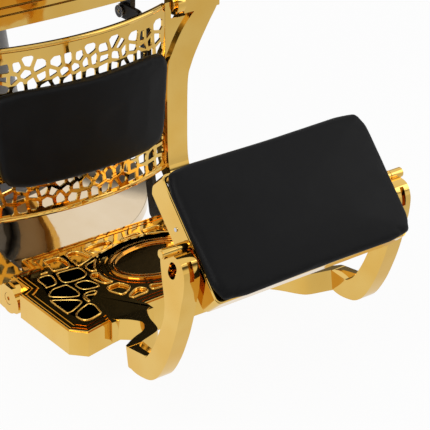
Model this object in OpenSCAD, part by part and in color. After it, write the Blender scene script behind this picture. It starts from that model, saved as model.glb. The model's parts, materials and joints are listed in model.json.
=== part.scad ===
// Hydraulic barber chair with a levelling footplate and a flip footrest.
// The origin lies on the floor under the swivel axis. The chair faces -Y and +Z is up.

/* [Base and lift] */
// Radius of the round base
base_r = 306; // [280:2:330]
// Height of the base rim above the floor pad
base_rim_h = 20; // [14:1:28]
// Height of the dome under the pump flange
base_dome_h = 68; // [55:1:80]
// Wall of the base casting
base_wall = 9; // [6:1:12]
// Thickness of the rubber floor pad
floor_pad_t = 5; // [3:1:8]
// Radius of the pump flange
pump_flange_r = 140; // [134:1:150]
// Radius of the pump housing at its foot
pump_foot_r = 98; // [90:1:102]
// Radius of the pump housing at its top
pump_top_r = 56; // [50:1:62]
// Height of the pump housing's top above the floor
pump_top_z = 366; // [345:1:370]
// Radius of the lift ram
ram_r = 30; // [26:1:34]
// Radius that the foot pedal reaches
pedal_reach = 322; // [290:1:325]

/* [Seat] */
// Height of the seat frame's lower edge
seat_z = 477; // [472:1:490]
// Height of the seat frame's side rails
seat_rail_h = 55; // [50:1:60]
// Half of the width over the seat frame
seat_half_w = 290; // [284:1:300]
// Thickness of a seat side rail
seat_rail_t = 28; // [22:1:32]
// Distance from the swivel axis to the apron's inner face
apron_back_y = 328; // [322:1:334]
// How far the apron's middle stands in front of its ends
apron_bow = 18; // [10:1:22]
// Thickness of the seat cushion at its edge
seat_cushion_h = 58; // [45:1:70]
// Height of the armrest castings
arm_h = 205; // [180:1:220]
// Width of an arm pad
arm_pad_w = 64; // [54:1:66]
// Thickness of an arm pad
arm_pad_h = 34; // [26:1:42]

/* [Back] */
// Lean of the backrest at rest, in degrees
back_lean = 12; // [8:1:15]
// Height of the back shell along the backrest
back_shell_h = 430; // [380:5:450]
// Half of the width of the back shell
back_half_w = 232; // [220:1:234]
// Thickness of the back cushion
back_cushion_t = 78; // [60:1:85]
// Width of the headrest cushion
headrest_w = 270; // [230:2:290]
// Height of the headrest cushion
headrest_h = 130; // [110:2:140]
// Travel of the headrest bar
headrest_travel = 100; // [60:5:110]

/* [Leg rest] */
// Distance from the swivel axis to the front face of the side rails
rail_front_y = 334; // [332:0.5:337]
// Half of the width over the side rails where they run straight
rail_half_w = 221; // [217:1:224]
// Width of a side rail seen from the front
rail_w = 41; // [38:1:43]
// Depth of a side rail seen from the side
rail_depth = 36; // [32:1:38]
// Height of the calf panel
panel_h = 295; // [280:1:298]
// How far the calf panel bows forward
panel_bow = 36; // [30:1:42]
// Thickness of the calf panel's sheet
panel_t = 3; // [2:0.5:4]
// Height of the calf pad
calf_pad_h = 166; // [150:1:170]
// Thickness of the calf pad
calf_pad_t = 20; // [16:1:26]
// Half of the calf pad's width along its top edge
calf_pad_half_w = 161; // [150:1:164]
// Width of a levelling link
link_w = 22; // [18:1:24]

/* [Footplate] */
// Half of the footplate's width
plate_half_w = 230; // [226:1:236]
// Height of the footplate's top face
plate_z = 130; // [128:1:134]
// Distance from the swivel axis to the footplate's rear edge
plate_rear_y = 430; // [428:1:432]
// Depth of the footplate at its corners
plate_depth = 244; // [240:1:248]
// Height of the footplate's skirt
plate_skirt_h = 42; // [36:1:48]
// Half length of the oval medallion
medallion_a = 79; // [60:1:84]
// Half width of the oval medallion
medallion_b = 57; // [45:1:60]

/* [Flip footrest] */
// Distance from the swivel axis to the footrest's trunnion
trunnion_y = 860; // [850:1:870]
// Height of the footrest's trunnion
trunnion_z = 338; // [334:1:346]
// Tilt of the footrest at rest, in degrees
rest_tilt = 48; // [40:1:55]
// Width of the footrest's tray
tray_w = 342; // [335:1:346]
// Depth of the footrest's tray
tray_d = 190; // [170:1:200]
// Height of the tray's side walls
tray_h = 38; // [32:1:44]
// Crown of the footrest's cushion over the tray's lip
rest_crown = 15; // [12:1:24]
// Half of the width over the hooked arms
hook_half_w = 202; // [200:1:206]
// Thickness of a hooked arm
hook_t = 26; // [22:1:27]

/* [Hidden] */

// Colours
gold = [0.85, 0.66, 0.27];
dark_gold = [0.62, 0.44, 0.14];
black_hide = [0.12, 0.12, 0.13];
black_paint = [0.06, 0.06, 0.065];
grey_paint = [0.45, 0.46, 0.47];
bright_steel = [0.75, 0.76, 0.77];
ply = [0.72, 0.56, 0.36];
rubber = [0.08, 0.08, 0.08];

// Clearances, the overrun of cuts, edges, and the number of sides of round pieces
run_c = 0.05;
gap = 0.3;
seat_c = 0.5;
bowed_seat_c = 0.8;
over = 1;
edge = 3;
round_fn = 64;
small_fn = 32;
large_fn = 96;

// Helpers

// A cylinder along X between two X values, centred at the point p of Y and Z.
module rod_x(r, x1, x2, p, fn = round_fn) {
    translate([x1, p[0], p[1]]) rotate([0, 90, 0]) cylinder(r = r, h = x2 - x1, $fn = fn);
}

// The children and their mirror image across the chair's middle plane.
module pair() {
    children();
    mirror([1, 0, 0]) children();
}

// The children on the viewer's right (1) or left (-1) of the chair.
module on_side(s) {
    mirror([s < 0 ? 1 : 0, 0, 0]) children();
}

// An outline in Y and Z, extruded between two X values.
module yz_plate(x1, x2) {
    translate([x1, 0, 0]) rotate([90, 0, 90]) linear_extrude(x2 - x1) children();
}

// An outline in X and Z, extruded between two Y values.
module xz_plate(y1, y2) {
    translate([0, y2, 0]) rotate([90, 0, 0]) linear_extrude(y2 - y1) children();
}

// An outline in X and Y, extruded between two Z values.
module xy_plate(z1, z2) {
    translate([0, 0, z1]) linear_extrude(z2 - z1) children();
}

// A block between two corners.
module block(a, b) {
    translate(a) cube(b - a);
}

// A straight bar with round ends between two points of a plane.
bar_end_steps = 12;
module bar_2d(p, q, w) {
    turn = atan2(q[1] - p[1], q[0] - p[0]);
    ends = [for (e = [[q, -90], [p, 90]]) for (i = [0 : bar_end_steps])
        let (a = turn + e[1] + 180 * i / bar_end_steps) e[0] + w / 2 * [cos(a), sin(a)]];
    polygon(ends);
}

// The points of an outline moved outwards by c, whichever way round they run.
function area_sign(p) = sign([for (i = [0 : len(p) - 1]) let (j = (i + 1) % len(p))
    p[i][0] * p[j][1] - p[j][0] * p[i][1]] * [for (i = p) 1]);
function edge_normal(p, i, s) = let (d = p[(i + 1) % len(p)] - p[i]) s * [d[1], -d[0]] / norm(d);
function grown(p, c) =
    let (m = len(p), s = area_sign(p))
    [for (i = [0 : m - 1])
        let (a = edge_normal(p, (i + m - 1) % m, s), b = edge_normal(p, i, s))
            p[i] + c * (a + b) / (1 + a * b)];

// An oval with half axes a and b.
oval_points_n = 96;
module oval_2d(a, b) {
    polygon([for (i = [0 : oval_points_n - 1]) let (t = 360 * i / oval_points_n) [a * cos(t), b * sin(t)]]);
}

// A smooth curve through hand-chosen points, n pieces between each two of them.
function spline_at(a, b, c, d, t) =
    0.5 * (2 * b + (c - a) * t + (2 * a - 5 * b + 4 * c - d) * t * t + (3 * b - a - 3 * c + d) * t * t * t);
function spline(p, n) =
    let (m = len(p))
    [for (i = [0 : m - 2]) for (k = [0 : n - 1])
        spline_at(p[max(i - 1, 0)], p[i], p[i + 1], p[min(i + 2, m - 1)], k / n),
     p[m - 1]];
function scaled(shares, size, at) = [for (s = shares) [at[0] + s[0] * size[0], at[1] + s[1] * size[1]]];
function mirrored(p) = [for (i = [len(p) - 1 : -1 : 0]) [-p[i][0], p[i][1]]];

// A rounded rectangle with its centre at the origin.
module rounded_2d(w, h, r) {
    for (x = [-1, 1]) for (y = [-1, 1]) translate([x * (w / 2 - r), y * (h / 2 - r)])
        circle(r, $fn = small_fn);
    square([w - 2 * r, h], center = true);
    square([w, h - 2 * r], center = true);
}

// Crackle pattern: irregular cells, each an eight-sided box cut back half way to its neighbours.
// The part of an outline on the near side of a line with the normal n, at d from the origin.
cell_jitter_share = 0.3;
cell_box_share = 0.6;
cell_corner_share = 0.5;
cell_least_side = 3;
function clipped(p, n, d) =
    let (m = len(p))
    [for (i = [0 : m - 1])
        let (a = p[i], b = p[(i + 1) % m], u = a * n - d, v = b * n - d)
        each concat(u <= 0 ? [a] : [], u * v < 0 ? [a + (b - a) * u / (u - v)] : [])];
function cut_back(p, c, sites, web, k = 0) =
    k == len(sites) ? p
    : let (q = sites[k] - c, l = norm(q))
      cut_back(l < web ? p : clipped(p, q / l, c * q / l + (l - web) / 2), c, sites, web, k + 1);
function cell_box(c, size) =
    [for (q = [[1, 1], [-1, 1], [-1, -1], [1, -1]])
        let (x = q[0] * size[0] * cell_box_share, y = q[1] * size[1] * cell_box_share)
        each q[0] * q[1] > 0 ? [c + [x, y * cell_corner_share], c + [x * cell_corner_share, y]]
                             : [c + [x * cell_corner_share, y], c + [x, y * cell_corner_share]]];
function long_sides(p, least) =
    [for (i = [0 : len(p) - 1]) if (norm(p[i] - p[(i + 1) % len(p)]) > least) p[i]];
// Scattered sites: each row is [its height, its number of cells].
function row_sites(rows, width, step, seed) =
    [for (r = [0 : len(rows) - 1]) for (i = [0 : rows[r][1] - 1])
        let (w = width / rows[r][1],
             t = rands(-cell_jitter_share, cell_jitter_share, 2, seed + 100 * r + i))
        [(i + 0.5 + t[0]) * w - width / 2, rows[r][0] + t[1] * step]];
function cell_at(c, sites, size, web) =
    long_sides(cut_back(cell_box(c, size), c, sites, web), cell_least_side);

// Cushions
// A crowned form: rings of a rounded rectangle whose sides draw in between the corners.
// Each ring is [inset share of the edge roll, height share of the edge height, pull share].
cushion_ring_shares = [[0.55, 0, 0.3], [0.12, 0.16, 0.8], [0, 0.45, 1], [0.16, 0.74, 0.8], [0.5, 0.93, 0.5],
                       [1, 1, 0.2]];
crown_ring_shares = [0.72, 0.42];
under_ring_shares = [0.25, 0.5, 0.75];
cushion_points_n = 44;
function cushion_outline(a, b, taper, pull, power) =
    [for (i = [0 : cushion_points_n - 1])
        let (t = 360 * (i + 0.5) / cushion_points_n,
             reach = pow(pow(abs(cos(t)), power) + pow(abs(sin(t)), power), 1 / power),
             x = cos(t) / reach,
             y = sin(t) / reach)
        [x * (a + taper * y) - sign(x) * pull * (1 - y * y), y * b - sign(y) * pull * (1 - x * x)]];
// A point moved onto a cylinder of radius bend_r about the Y direction: positive hollows the front.
function bend_point(p, bend_r) =
    bend_r == 0 ? p
    : let (q = p[0] / abs(bend_r) * 180 / PI, r = bend_r - p[2])
      [(abs(bend_r) - sign(bend_r) * p[2]) * sin(q), p[1], bend_r - sign(bend_r) * abs(r) * cos(q)];
soft_power = 5;
module cushion(a, b, h, crown, roll, pull, taper = 0, bend_r = 0, power = soft_power) {
    n = cushion_points_n;
    low = cushion_ring_shares[0][0] * roll;
    unders = [for (s = bend_r == 0 ? [] : under_ring_shares)
        [for (p = cushion_outline((a - low) * s, (b - low) * s, taper * s, 0, power)) [p[0], p[1], 0]]];
    sides = [for (s = cushion_ring_shares)
        [for (p = cushion_outline(a - s[0] * roll, b - s[0] * roll, taper, s[2] * pull, power))
            [p[0], p[1], s[1] * h]]];
    tops = [for (s = crown_ring_shares)
        [for (p = cushion_outline((a - roll) * s, (b - roll) * s, taper * s, 0, power))
            [p[0], p[1], h + crown * (1 - s * s)]]];
    rings = concat(unders, sides, tops);
    m = len(rings);
    flat = [for (ring = rings) for (p = ring) bend_point(p, bend_r)];
    points = concat(flat, [bend_point([0, 0, h + crown], bend_r), bend_point([0, 0, 0], bend_r)]);
    walls = [for (k = [0 : m - 2]) for (i = [0 : n - 1]) let (j = (i + 1) % n)
        each [[k * n + i, (k + 1) * n + i, (k + 1) * n + j], [k * n + i, (k + 1) * n + j, k * n + j]]];
    caps = [for (i = [0 : n - 1]) let (j = (i + 1) % n)
        each [[(m - 1) * n + i, m * n, (m - 1) * n + j], [j, m * n + 1, i]]];
    polyhedron(points, concat(walls, caps), convexity = 4);
}

// Base

base_top_z = floor_pad_t + base_dome_h;
base_step = 8;
flange_t = 12;
flange_top_z = base_top_z + flange_t;
bolt_r = 6;
bolt_count = 6;
bolt_ring_r = (pump_flange_r + pump_foot_r) / 2 + edge;
pad_socket_depth = 1.5;

module floor_pad() {
    color(rubber) difference() {
        cylinder(r = base_r - base_wall, h = floor_pad_t, $fn = large_fn);
        translate([0, 0, floor_pad_t - pad_socket_depth])
            cylinder(r = pump_foot_r, h = floor_pad_t, $fn = round_fn);
    }
}

dome_shares = [[0, 0.06], [0.24, 0.2], [0.5, 0.42], [0.76, 0.72], [0.93, 0.94], [1, 1]];
module base_disc() {
    rise = base_dome_h - base_rim_h;
    span = base_r - pump_flange_r - base_step;
    bore_r = pump_foot_r - base_wall;
    skin = [for (s = spline(dome_shares, 3)) [base_r - s[0] * span, base_rim_h + s[1] * rise]];
    inner = [for (i = [len(skin) - 1 : -1 : 0]) skin[i] - base_wall * [1 / 3, 1]];
    color(gold) translate([0, 0, floor_pad_t]) rotate_extrude($fn = large_fn)
        polygon(concat([[base_r - base_wall, 0], [base_r - edge, 0], [base_r, edge]], skin,
                       [[bore_r, base_dome_h], [bore_r, base_dome_h - base_wall]], inner,
                       [[base_r - base_wall, edge]]));
}

gland_h = 14;
gland_wall = 18;
housing_waist_rise_share = 0.74;
housing_waist_step = 13;
housing_cap_h = 14;
housing_cap_step = 6;
housing_edge = 4;
housing_wall = 12;
module pump_housing() {
    waist_z = base_top_z + (pump_top_z - base_top_z) * housing_waist_rise_share;
    bore_r = ram_r + run_c;
    color(grey_paint) difference() {
        rotate_extrude($fn = large_fn)
            polygon([[bore_r, base_top_z], [pump_flange_r, base_top_z], [pump_flange_r, flange_top_z - edge],
                     [pump_flange_r - edge, flange_top_z], [pump_foot_r + housing_edge, flange_top_z],
                     [pump_foot_r, flange_top_z + housing_edge], [pump_top_r + housing_waist_step, waist_z],
                     [pump_top_r + housing_cap_step, pump_top_z - housing_cap_h],
                     [pump_top_r, pump_top_z - housing_edge], [pump_top_r - housing_edge, pump_top_z],
                     [bore_r, pump_top_z]]);
        // Oil chamber, open towards the base
        rotate_extrude($fn = large_fn)
            polygon([[ram_r + housing_wall, base_top_z - over],
                [pump_foot_r - housing_wall, base_top_z - over],
                     [pump_foot_r - housing_wall, flange_top_z],
                     [pump_top_r + housing_waist_step - housing_wall, waist_z],
                     [ram_r + housing_wall, pump_top_z - housing_wall - housing_cap_h]]);
        bolt_ring() translate([0, 0, base_top_z - over])
            cylinder(r = bolt_r + run_c, h = flange_t + 2 * over, $fn = small_fn);
    }
}

module bolt_ring() {
    for (i = [0 : bolt_count - 1]) rotate([0, 0, 360 * i / bolt_count]) translate([bolt_ring_r, 0, 0])
        children();
}

module pump_gland() {
    out_r = ram_r + gland_wall;
    color(gold) translate([0, 0, pump_top_z]) rotate_extrude($fn = large_fn)
        polygon([[ram_r + run_c, 0], [out_r - edge, 0], [out_r, edge], [out_r, gland_h - edge],
                 [out_r - edge, gland_h], [ram_r + run_c, gland_h]]);
}

bolt_head_h = 7;
module pump_bolts() {
    color(bright_steel) bolt_ring() {
        translate([0, 0, base_top_z]) cylinder(r = bolt_r, h = flange_t + over, $fn = small_fn);
        translate([0, 0, flange_top_z]) cylinder(r = bolt_r * 1.7, h = bolt_head_h, $fn = 6);
    }
}

// Foot pedal, drawn along +X and then turned to its place

pedal_turn = 90;
pedal_hinge_inset = 16;
pedal_hinge_rise = 42;
pedal_hinge = [pump_flange_r - pedal_hinge_inset, flange_top_z + pedal_hinge_rise];
pedal_pin_r = 6;
pedal_arm_t = 12;
pedal_eye_r = 13;
pedal_bar_w = 18;
pedal_tip_w = 14;
pedal_knee_l = 60;
pedal_tip_l = 8;
pedal_rise = 14;
pedal_plate_t = 4;
pedal_plate_w = 52;
pedal_ear_t = 8;
pedal_ear_r = 14;
pedal_ear_in = pedal_arm_t / 2 + gap;
pedal_pad_l = 62;
pedal_pad_w = 58;
pedal_pad_h = 9;
pedal_groove = [4, 2];
pedal_groove_n = 5;
pedal_plate_z = pedal_hinge[1] + pedal_rise + pedal_tip_w / 2;
module pedal_place() {
    rotate([0, 0, pedal_turn]) children();
}
module pedal_pin(r, half_l) {
    translate([pedal_hinge[0], -half_l, pedal_hinge[1]]) rotate([-90, 0, 0])
        cylinder(r = r, h = 2 * half_l, $fn = small_fn);
}

module pedal_bracket() {
    color(grey_paint) pedal_place() {
        for (s = [0, 1]) mirror([0, s, 0]) xz_plate(pedal_ear_in, pedal_ear_in + pedal_ear_t) {
            translate(pedal_hinge) circle(pedal_ear_r, $fn = small_fn);
            translate([pedal_hinge[0] - pedal_ear_r, flange_top_z])
                square([2 * pedal_ear_r, pedal_hinge[1] - flange_top_z]);
        }
        pedal_pin(pedal_pin_r, pedal_ear_in + pedal_ear_t + edge);
    }
}

module pump_pedal() {
    knee = pedal_hinge + [pedal_knee_l, pedal_rise];
    tip = [pedal_reach - pedal_pad_l, knee[1]];
    color(gold) pedal_place() {
        difference() {
            xz_plate(-pedal_arm_t / 2, pedal_arm_t / 2) {
                translate(pedal_hinge) circle(pedal_eye_r, $fn = small_fn);
                bar_2d(pedal_hinge, knee, pedal_bar_w);
                bar_2d(knee, tip, pedal_bar_w);
                bar_2d(tip, [pedal_reach - pedal_tip_l, knee[1]], pedal_tip_w);
            }
            pedal_pin(pedal_pin_r + run_c, pedal_arm_t);
        }
        block([tip[0], -pedal_plate_w / 2, pedal_plate_z],
              [pedal_reach - pedal_plate_t, pedal_plate_w / 2, pedal_plate_z + pedal_plate_t]);
    }
}

module pedal_pad() {
    step = pedal_pad_l / (pedal_groove_n + 1);
    at = [pedal_reach - pedal_pad_l, 0, pedal_plate_z + pedal_plate_t];
    color(rubber) pedal_place() translate(at) difference() {
        translate([pedal_pad_l / 2, 0, 0]) linear_extrude(pedal_pad_h)
            rounded_2d(pedal_pad_l, pedal_pad_w, pedal_tip_l);
        for (i = [1 : pedal_groove_n])
            translate([i * step, 0, pedal_pad_h])
                cube([pedal_groove[0], pedal_pad_w + 2 * over, 2 * pedal_groove[1]], center = true);
    }
}

// Ram and hub

ram_foot_rise = 47;
ram_bottom_z = base_top_z + ram_foot_rise;
hub_lift = 14;
hub_low_z = pump_top_z + gland_h + hub_lift;
hub_cap_t = 26;
plate_t = 12;
plate_rise = 2;
plate_low_z = seat_z + plate_rise;
ram_top_z = plate_low_z - hub_cap_t;
hub_wall = 17;
hub_flange_r = 88;
hub_flange_t = 10;
hub_neck_step = 3;
module ram() {
    color(bright_steel) translate([0, 0, ram_bottom_z])
        cylinder(r = ram_r, h = ram_top_z - ram_bottom_z, $fn = large_fn);
}

module swivel_hub() {
    bore_r = ram_r + run_c;
    color(grey_paint) rotate_extrude($fn = large_fn)
        polygon([[bore_r, hub_low_z], [ram_r + hub_wall - edge, hub_low_z],
            [ram_r + hub_wall, hub_low_z + edge],
                 [ram_r + hub_wall + hub_neck_step, ram_top_z], [hub_flange_r, plate_low_z - hub_flange_t],
                 [hub_flange_r, plate_low_z], [0, plate_low_z], [0, ram_top_z + gap],
                     [bore_r, ram_top_z + gap]]);
}

// Seat frame

tube_w = 28;
tube_wall = 3;
tube_z = plate_low_z + plate_t;
tube_front_y = -240;
seat_in_w = seat_half_w - seat_rail_t;
board_t = 12;
board_z = tube_z + tube_w;
cushion_z = board_z + board_t;
rear_rail_t = 14;
plate_end = 4;
back_pivot_y = 185;
back_pivot_rise = 43;
back_pivot = [back_pivot_y, seat_z + back_pivot_rise];
crank_l = 60;
crank_sweep = 47;
rear_rail_y = back_pivot[0] - crank_sweep - rear_rail_t;
tube_rear_y = rear_rail_y - tube_w - plate_end;
back_ear_r = 27;
plate_half_x = 138;
plate_hole = [118, 7];
plate_hole_ys = [-150, 30];

module underseat_plate() {
    color(black_paint) difference() {
        block([-plate_half_x, tube_front_y - plate_end, plate_low_z],
              [plate_half_x, tube_rear_y + tube_w + plate_end, tube_z]);
        for (x = [-1, 1]) for (y = plate_hole_ys)
            translate([x * plate_hole[0], y, plate_low_z - over])
                cylinder(r = plate_hole[1], h = plate_t + 2 * over, $fn = small_fn);
    }
}

module cross_tubes() {
    color(black_paint) for (y = [tube_front_y, tube_rear_y]) difference() {
        block([-seat_in_w, y, tube_z], [seat_in_w, y + tube_w, board_z]);
        block([-seat_in_w - over, y + tube_wall, tube_z + tube_wall],
              [seat_in_w + over, y + tube_w - tube_wall, board_z - tube_wall]);
    }
}

side_rib = [3, 8];
side_rib_inset = [18, 42];
side_rib_rise = 14;
module seat_side(s) {
    len_y = apron_back_y + back_pivot[0];
    color(gold) on_side(s) difference() {
        union() {
            yz_plate(seat_in_w, seat_half_w) {
                translate([-apron_back_y, seat_z]) square([len_y, seat_rail_h]);
                translate(back_pivot) circle(back_ear_r, $fn = round_fn);
            }
            yz_plate(seat_half_w, seat_half_w + side_rib[0])
                translate([side_rib_inset[0] - apron_back_y, seat_z + side_rib_rise])
                    square([len_y - side_rib_inset[0] - side_rib_inset[1], side_rib[1]]);
        }
        rod_x(back_pin_r + run_c, seat_in_w - over, seat_half_w + over, back_pivot);
    }
}

// Bands of the apron: share of the height where each starts, and how far it stands out
apron_band_shares = [0, 0.38, 0.47, 0.62, 0.68, 1];
apron_bands = [0, -4, 3, -3, 1];
apron_end_t = 6;
apron_arc_n = 24;
function apron_front(out) =
    let (r = (seat_half_w * seat_half_w + apron_bow * apron_bow) / (2 * apron_bow), a = asin(seat_half_w / r),
         front = apron_back_y + apron_end_t + apron_bow)
    [for (i = [0 : apron_arc_n]) let (t = a * (2 * i / apron_arc_n - 1))
        [(r + out) * sin(t), -front + r - (r + out) * cos(t)]];
module seat_apron() {
    color(gold) for (i = [0 : len(apron_bands) - 1])
        xy_plate(seat_z + apron_band_shares[i] * seat_rail_h, seat_z + apron_band_shares[i + 1] * seat_rail_h)
            intersection() {
                polygon(concat(apron_front(apron_bands[i]),
                               [[seat_half_w, -apron_back_y], [-seat_half_w, -apron_back_y]]));
                translate([-seat_half_w, -2 * apron_back_y]) square([2 * seat_half_w, 2 * apron_back_y]);
            }
}

module seat_rear_rail() {
    color(gold) block([-seat_in_w, rear_rail_y, tube_z], [seat_in_w, rear_rail_y + rear_rail_t, board_z]);
}

module seat_board() {
    color(ply) block([-seat_in_w + over, -apron_back_y + over, board_z],
                     [seat_in_w - over, rear_rail_y + rear_rail_t, cushion_z]);
}

seat_cushion_over = [2, 10];
seat_cushion_crown = 12;
seat_cushion_roll = 26;
seat_cushion_pull = 4;
arm_inset = 26;
arm_in_x = seat_half_w - arm_inset;
module seat_cushion() {
    front = -apron_back_y - seat_cushion_over[0];
    rear = rear_rail_y + rear_rail_t + seat_cushion_over[1];
    color(black_hide) translate([0, (front + rear) / 2, cushion_z])
        cushion(arm_in_x - seat_cushion_over[0], (rear - front) / 2, seat_cushion_h, seat_cushion_crown,
                seat_cushion_roll, seat_cushion_pull);
}

// Armrests: one casting on each side, with a web pierced by crackle cells

arm_t = 24;
arm_z = seat_z + seat_rail_h;
arm_front_y = -apron_back_y + apron_end_t;
arm_rear_y = back_pivot[0] - crank_sweep;
arm_len = arm_rear_y - arm_front_y;
arm_shares = [[0.02, 0], [0, 0.1], [-0.03, 0.3], [-0.02, 0.62], [0.03, 0.86], [0.1, 0.97], [0.2, 1], [0.5, 1],
              [0.8, 1], [0.91, 0.97], [0.97, 0.86], [1, 0.62], [1.01, 0.3], [1, 0.1], [0.98, 0]];
arm_window_shares = [[0.1, 0.14], [0.08, 0.4], [0.1, 0.68], [0.15, 0.8], [0.24, 0.84], [0.5, 0.85],
    [0.76, 0.84],
                     [0.85, 0.8], [0.9, 0.68], [0.92, 0.4], [0.9, 0.14]];
web_t = 7;
// Rows of the pattern: [height share of the armrest, number of cells]
arm_row_shares = [[0.245, 8], [0.4, 9], [0.555, 8], [0.71, 7]];
arm_row_step_share = 0.155;
arm_field_share = 0.76;
arm_web = 4;
module arm(s) {
    size = [arm_len, arm_h];
    at = [arm_front_y, arm_z];
    outline = spline(scaled(arm_shares, size, at), 4);
    window = spline(scaled(arm_window_shares, size, at), 4);
    mid = (arm_front_y + arm_rear_y) / 2;
    step = arm_h * arm_row_step_share;
    width = arm_len * arm_field_share;
    sites = row_sites([for (r = arm_row_shares) [r[0] * arm_h, r[1]]], width, step, 40);
    color(gold) on_side(s) difference() {
        yz_plate(arm_in_x, arm_in_x + arm_t) polygon(outline);
        for (x = [arm_in_x - over, arm_in_x + (arm_t + web_t) / 2])
            yz_plate(x, x + (arm_t - web_t) / 2 + over) polygon(window);
        yz_plate(arm_in_x, arm_in_x + arm_t) translate([mid, arm_z]) for (c = sites)
            polygon(cell_at(c, sites, [width / arm_row_shares[0][1], step], arm_web));
    }
}

arm_pad_half_share = 0.42;
arm_pad_crown = 5;
arm_pad_roll = 14;
arm_pad_pull = 2;
module arm_pad(s) {
    mid = (arm_front_y + arm_rear_y) / 2;
    color(black_hide) on_side(s) translate([arm_in_x + arm_t / 2, mid, arm_z + arm_h + seat_c])
        rotate([0, 0, 90])
            cushion(arm_len * arm_pad_half_share, arm_pad_w / 2, arm_pad_h, arm_pad_crown, arm_pad_roll,
                    arm_pad_pull);
}

// Leg rest linkage: the four pivots of a parallelogram, as [y, z]

leg_hinge_y = 321;
leg_hinge_drop = 38;
toe_pin_y = 482;
toe_pin_drop = 26;
leg_hinge = [-leg_hinge_y, seat_z - leg_hinge_drop];
link_offset = [96, -34];
toe_pin = [-toe_pin_y, plate_z - toe_pin_drop];
link_top = leg_hinge + link_offset;
link_foot = toe_pin + link_offset;
crank_drop = [0, -crank_l];
link_drive = link_top + crank_drop;
back_drive = back_pivot + crank_drop;

hinge_pin_r = 8;
hinge_head_r = 13.6;
hinge_head_t = 5;
lug_x = 198;
lug_t = 16;
lug_r = 20;
lug_neck = 26;
lug_foot_rise = 8;
boss_r = 22;
boss_in_x = lug_x + lug_t + gap;
boss_out_x = seat_half_w - edge;
module hinge_brackets() {
    neck_y = -apron_back_y + gap;
    color(black_paint) pair() {
        difference() {
            yz_plate(lug_x, lug_x + lug_t) {
                translate(leg_hinge) circle(lug_r, $fn = round_fn);
                translate([neck_y, leg_hinge[1]]) square([lug_neck, board_z - leg_hinge[1]]);
            }
            rod_x(hinge_pin_r + run_c, lug_x - over, lug_x + lug_t + over, leg_hinge);
        }
        block([lug_x + lug_t, neck_y, seat_z + lug_foot_rise], [seat_in_w, neck_y + lug_neck, board_z]);
    }
}

module leg_hinge_pins() {
    color(gold) pair() {
        rod_x(hinge_pin_r, lug_x - hinge_head_t, boss_out_x + gap, leg_hinge);
        rod_x(hinge_head_r, boss_out_x + gap, boss_out_x + hinge_head_t, leg_hinge);
        rod_x(hinge_head_r, lug_x - hinge_head_t, lug_x, leg_hinge);
    }
}

link_in_x = 164;
link_t = 8;
link_bracket_x = link_in_x + link_t + gap;
link_bracket_t = 10;
link_bracket_w = 30;
link_pin_r = 6;
link_head_t = 5;
link_socket_depth = 2;
module link_brackets() {
    color(black_paint) pair() difference() {
        yz_plate(link_bracket_x, link_bracket_x + link_bracket_t) {
            bar_2d(link_top, [link_top[0] - link_bracket_w / 8, tube_z - link_bracket_w / 2], link_bracket_w);
            translate([tube_front_y, tube_z - link_bracket_w])
                square([tube_w + link_bracket_w / 4, link_bracket_w]);
        }
        rod_x(link_pin_r + run_c, link_bracket_x - over, link_bracket_x + link_bracket_t + over, link_top);
    }
}

module link_bolts() {
    nut_x = link_bracket_x + link_bracket_t;
    color(bright_steel) pair() {
        rod_x(link_pin_r, link_in_x - gap, nut_x + link_head_t / 2, link_top);
        difference() {
            rod_x(link_pin_r * 1.8, link_in_x - link_head_t - gap, link_in_x - gap, link_top);
            rod_x(link_pin_r * 0.6, link_in_x - link_head_t - over,
                link_in_x - link_head_t + link_socket_depth,
                  link_top, 6);
        }
        rod_x(link_pin_r * 1.6, nut_x, nut_x + link_head_t, link_top, 6);
    }
}

// Side rails: straight below, flaring out to the hinge above, and a toe arm that sweeps forward

rail_back_y = -rail_front_y + rail_depth;
flare_inner_shares = [[0, 0], [0.01, 0.55], [0.195, 0.7], [0.56, 0.84], [0.94, 0.93], [1.28, 1]];
flare_outer_shares = [[1.05, 1], [1, 0.93], [0.7, 0.82], [0.39, 0.7], [0.135, 0.58], [0.01, 0.45], [0, 0]];
flare_rise = 4;
rail_rise = 44;
toe_drop = 44;
rail_low_z = plate_z + rail_rise;
toe_low_z = plate_z - toe_drop;
toe_join = 26;
toe_inset = 1;
toe_out_x = plate_half_w - toe_inset;
toe_tip_t = 17;
toe_reach = 29;
toe_front_y = toe_pin[0] - toe_reach;
toe_eye_r = 24;
toe_relief_r = 28;
toe_notch = 23;
flush_drop = 5;
notch_y = toe_pin[0] + toe_notch;
toe_shares = [[1, 1], [0.99, 0.72], [0.95, 0.52], [0.84, 0.38], [0.66, 0.32], [0.34, 0.29], [0.1, 0.27],
              [0.02, 0.23], [0, 0.15], [0.01, 0.05], [0.06, 0], [0.26, -0.03], [0.52, 0.04], [0.8, 0.1],
              [0.95, 0.24], [1.1, 0.45], [1.17, 0.7], [1.18, 1]];
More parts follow.
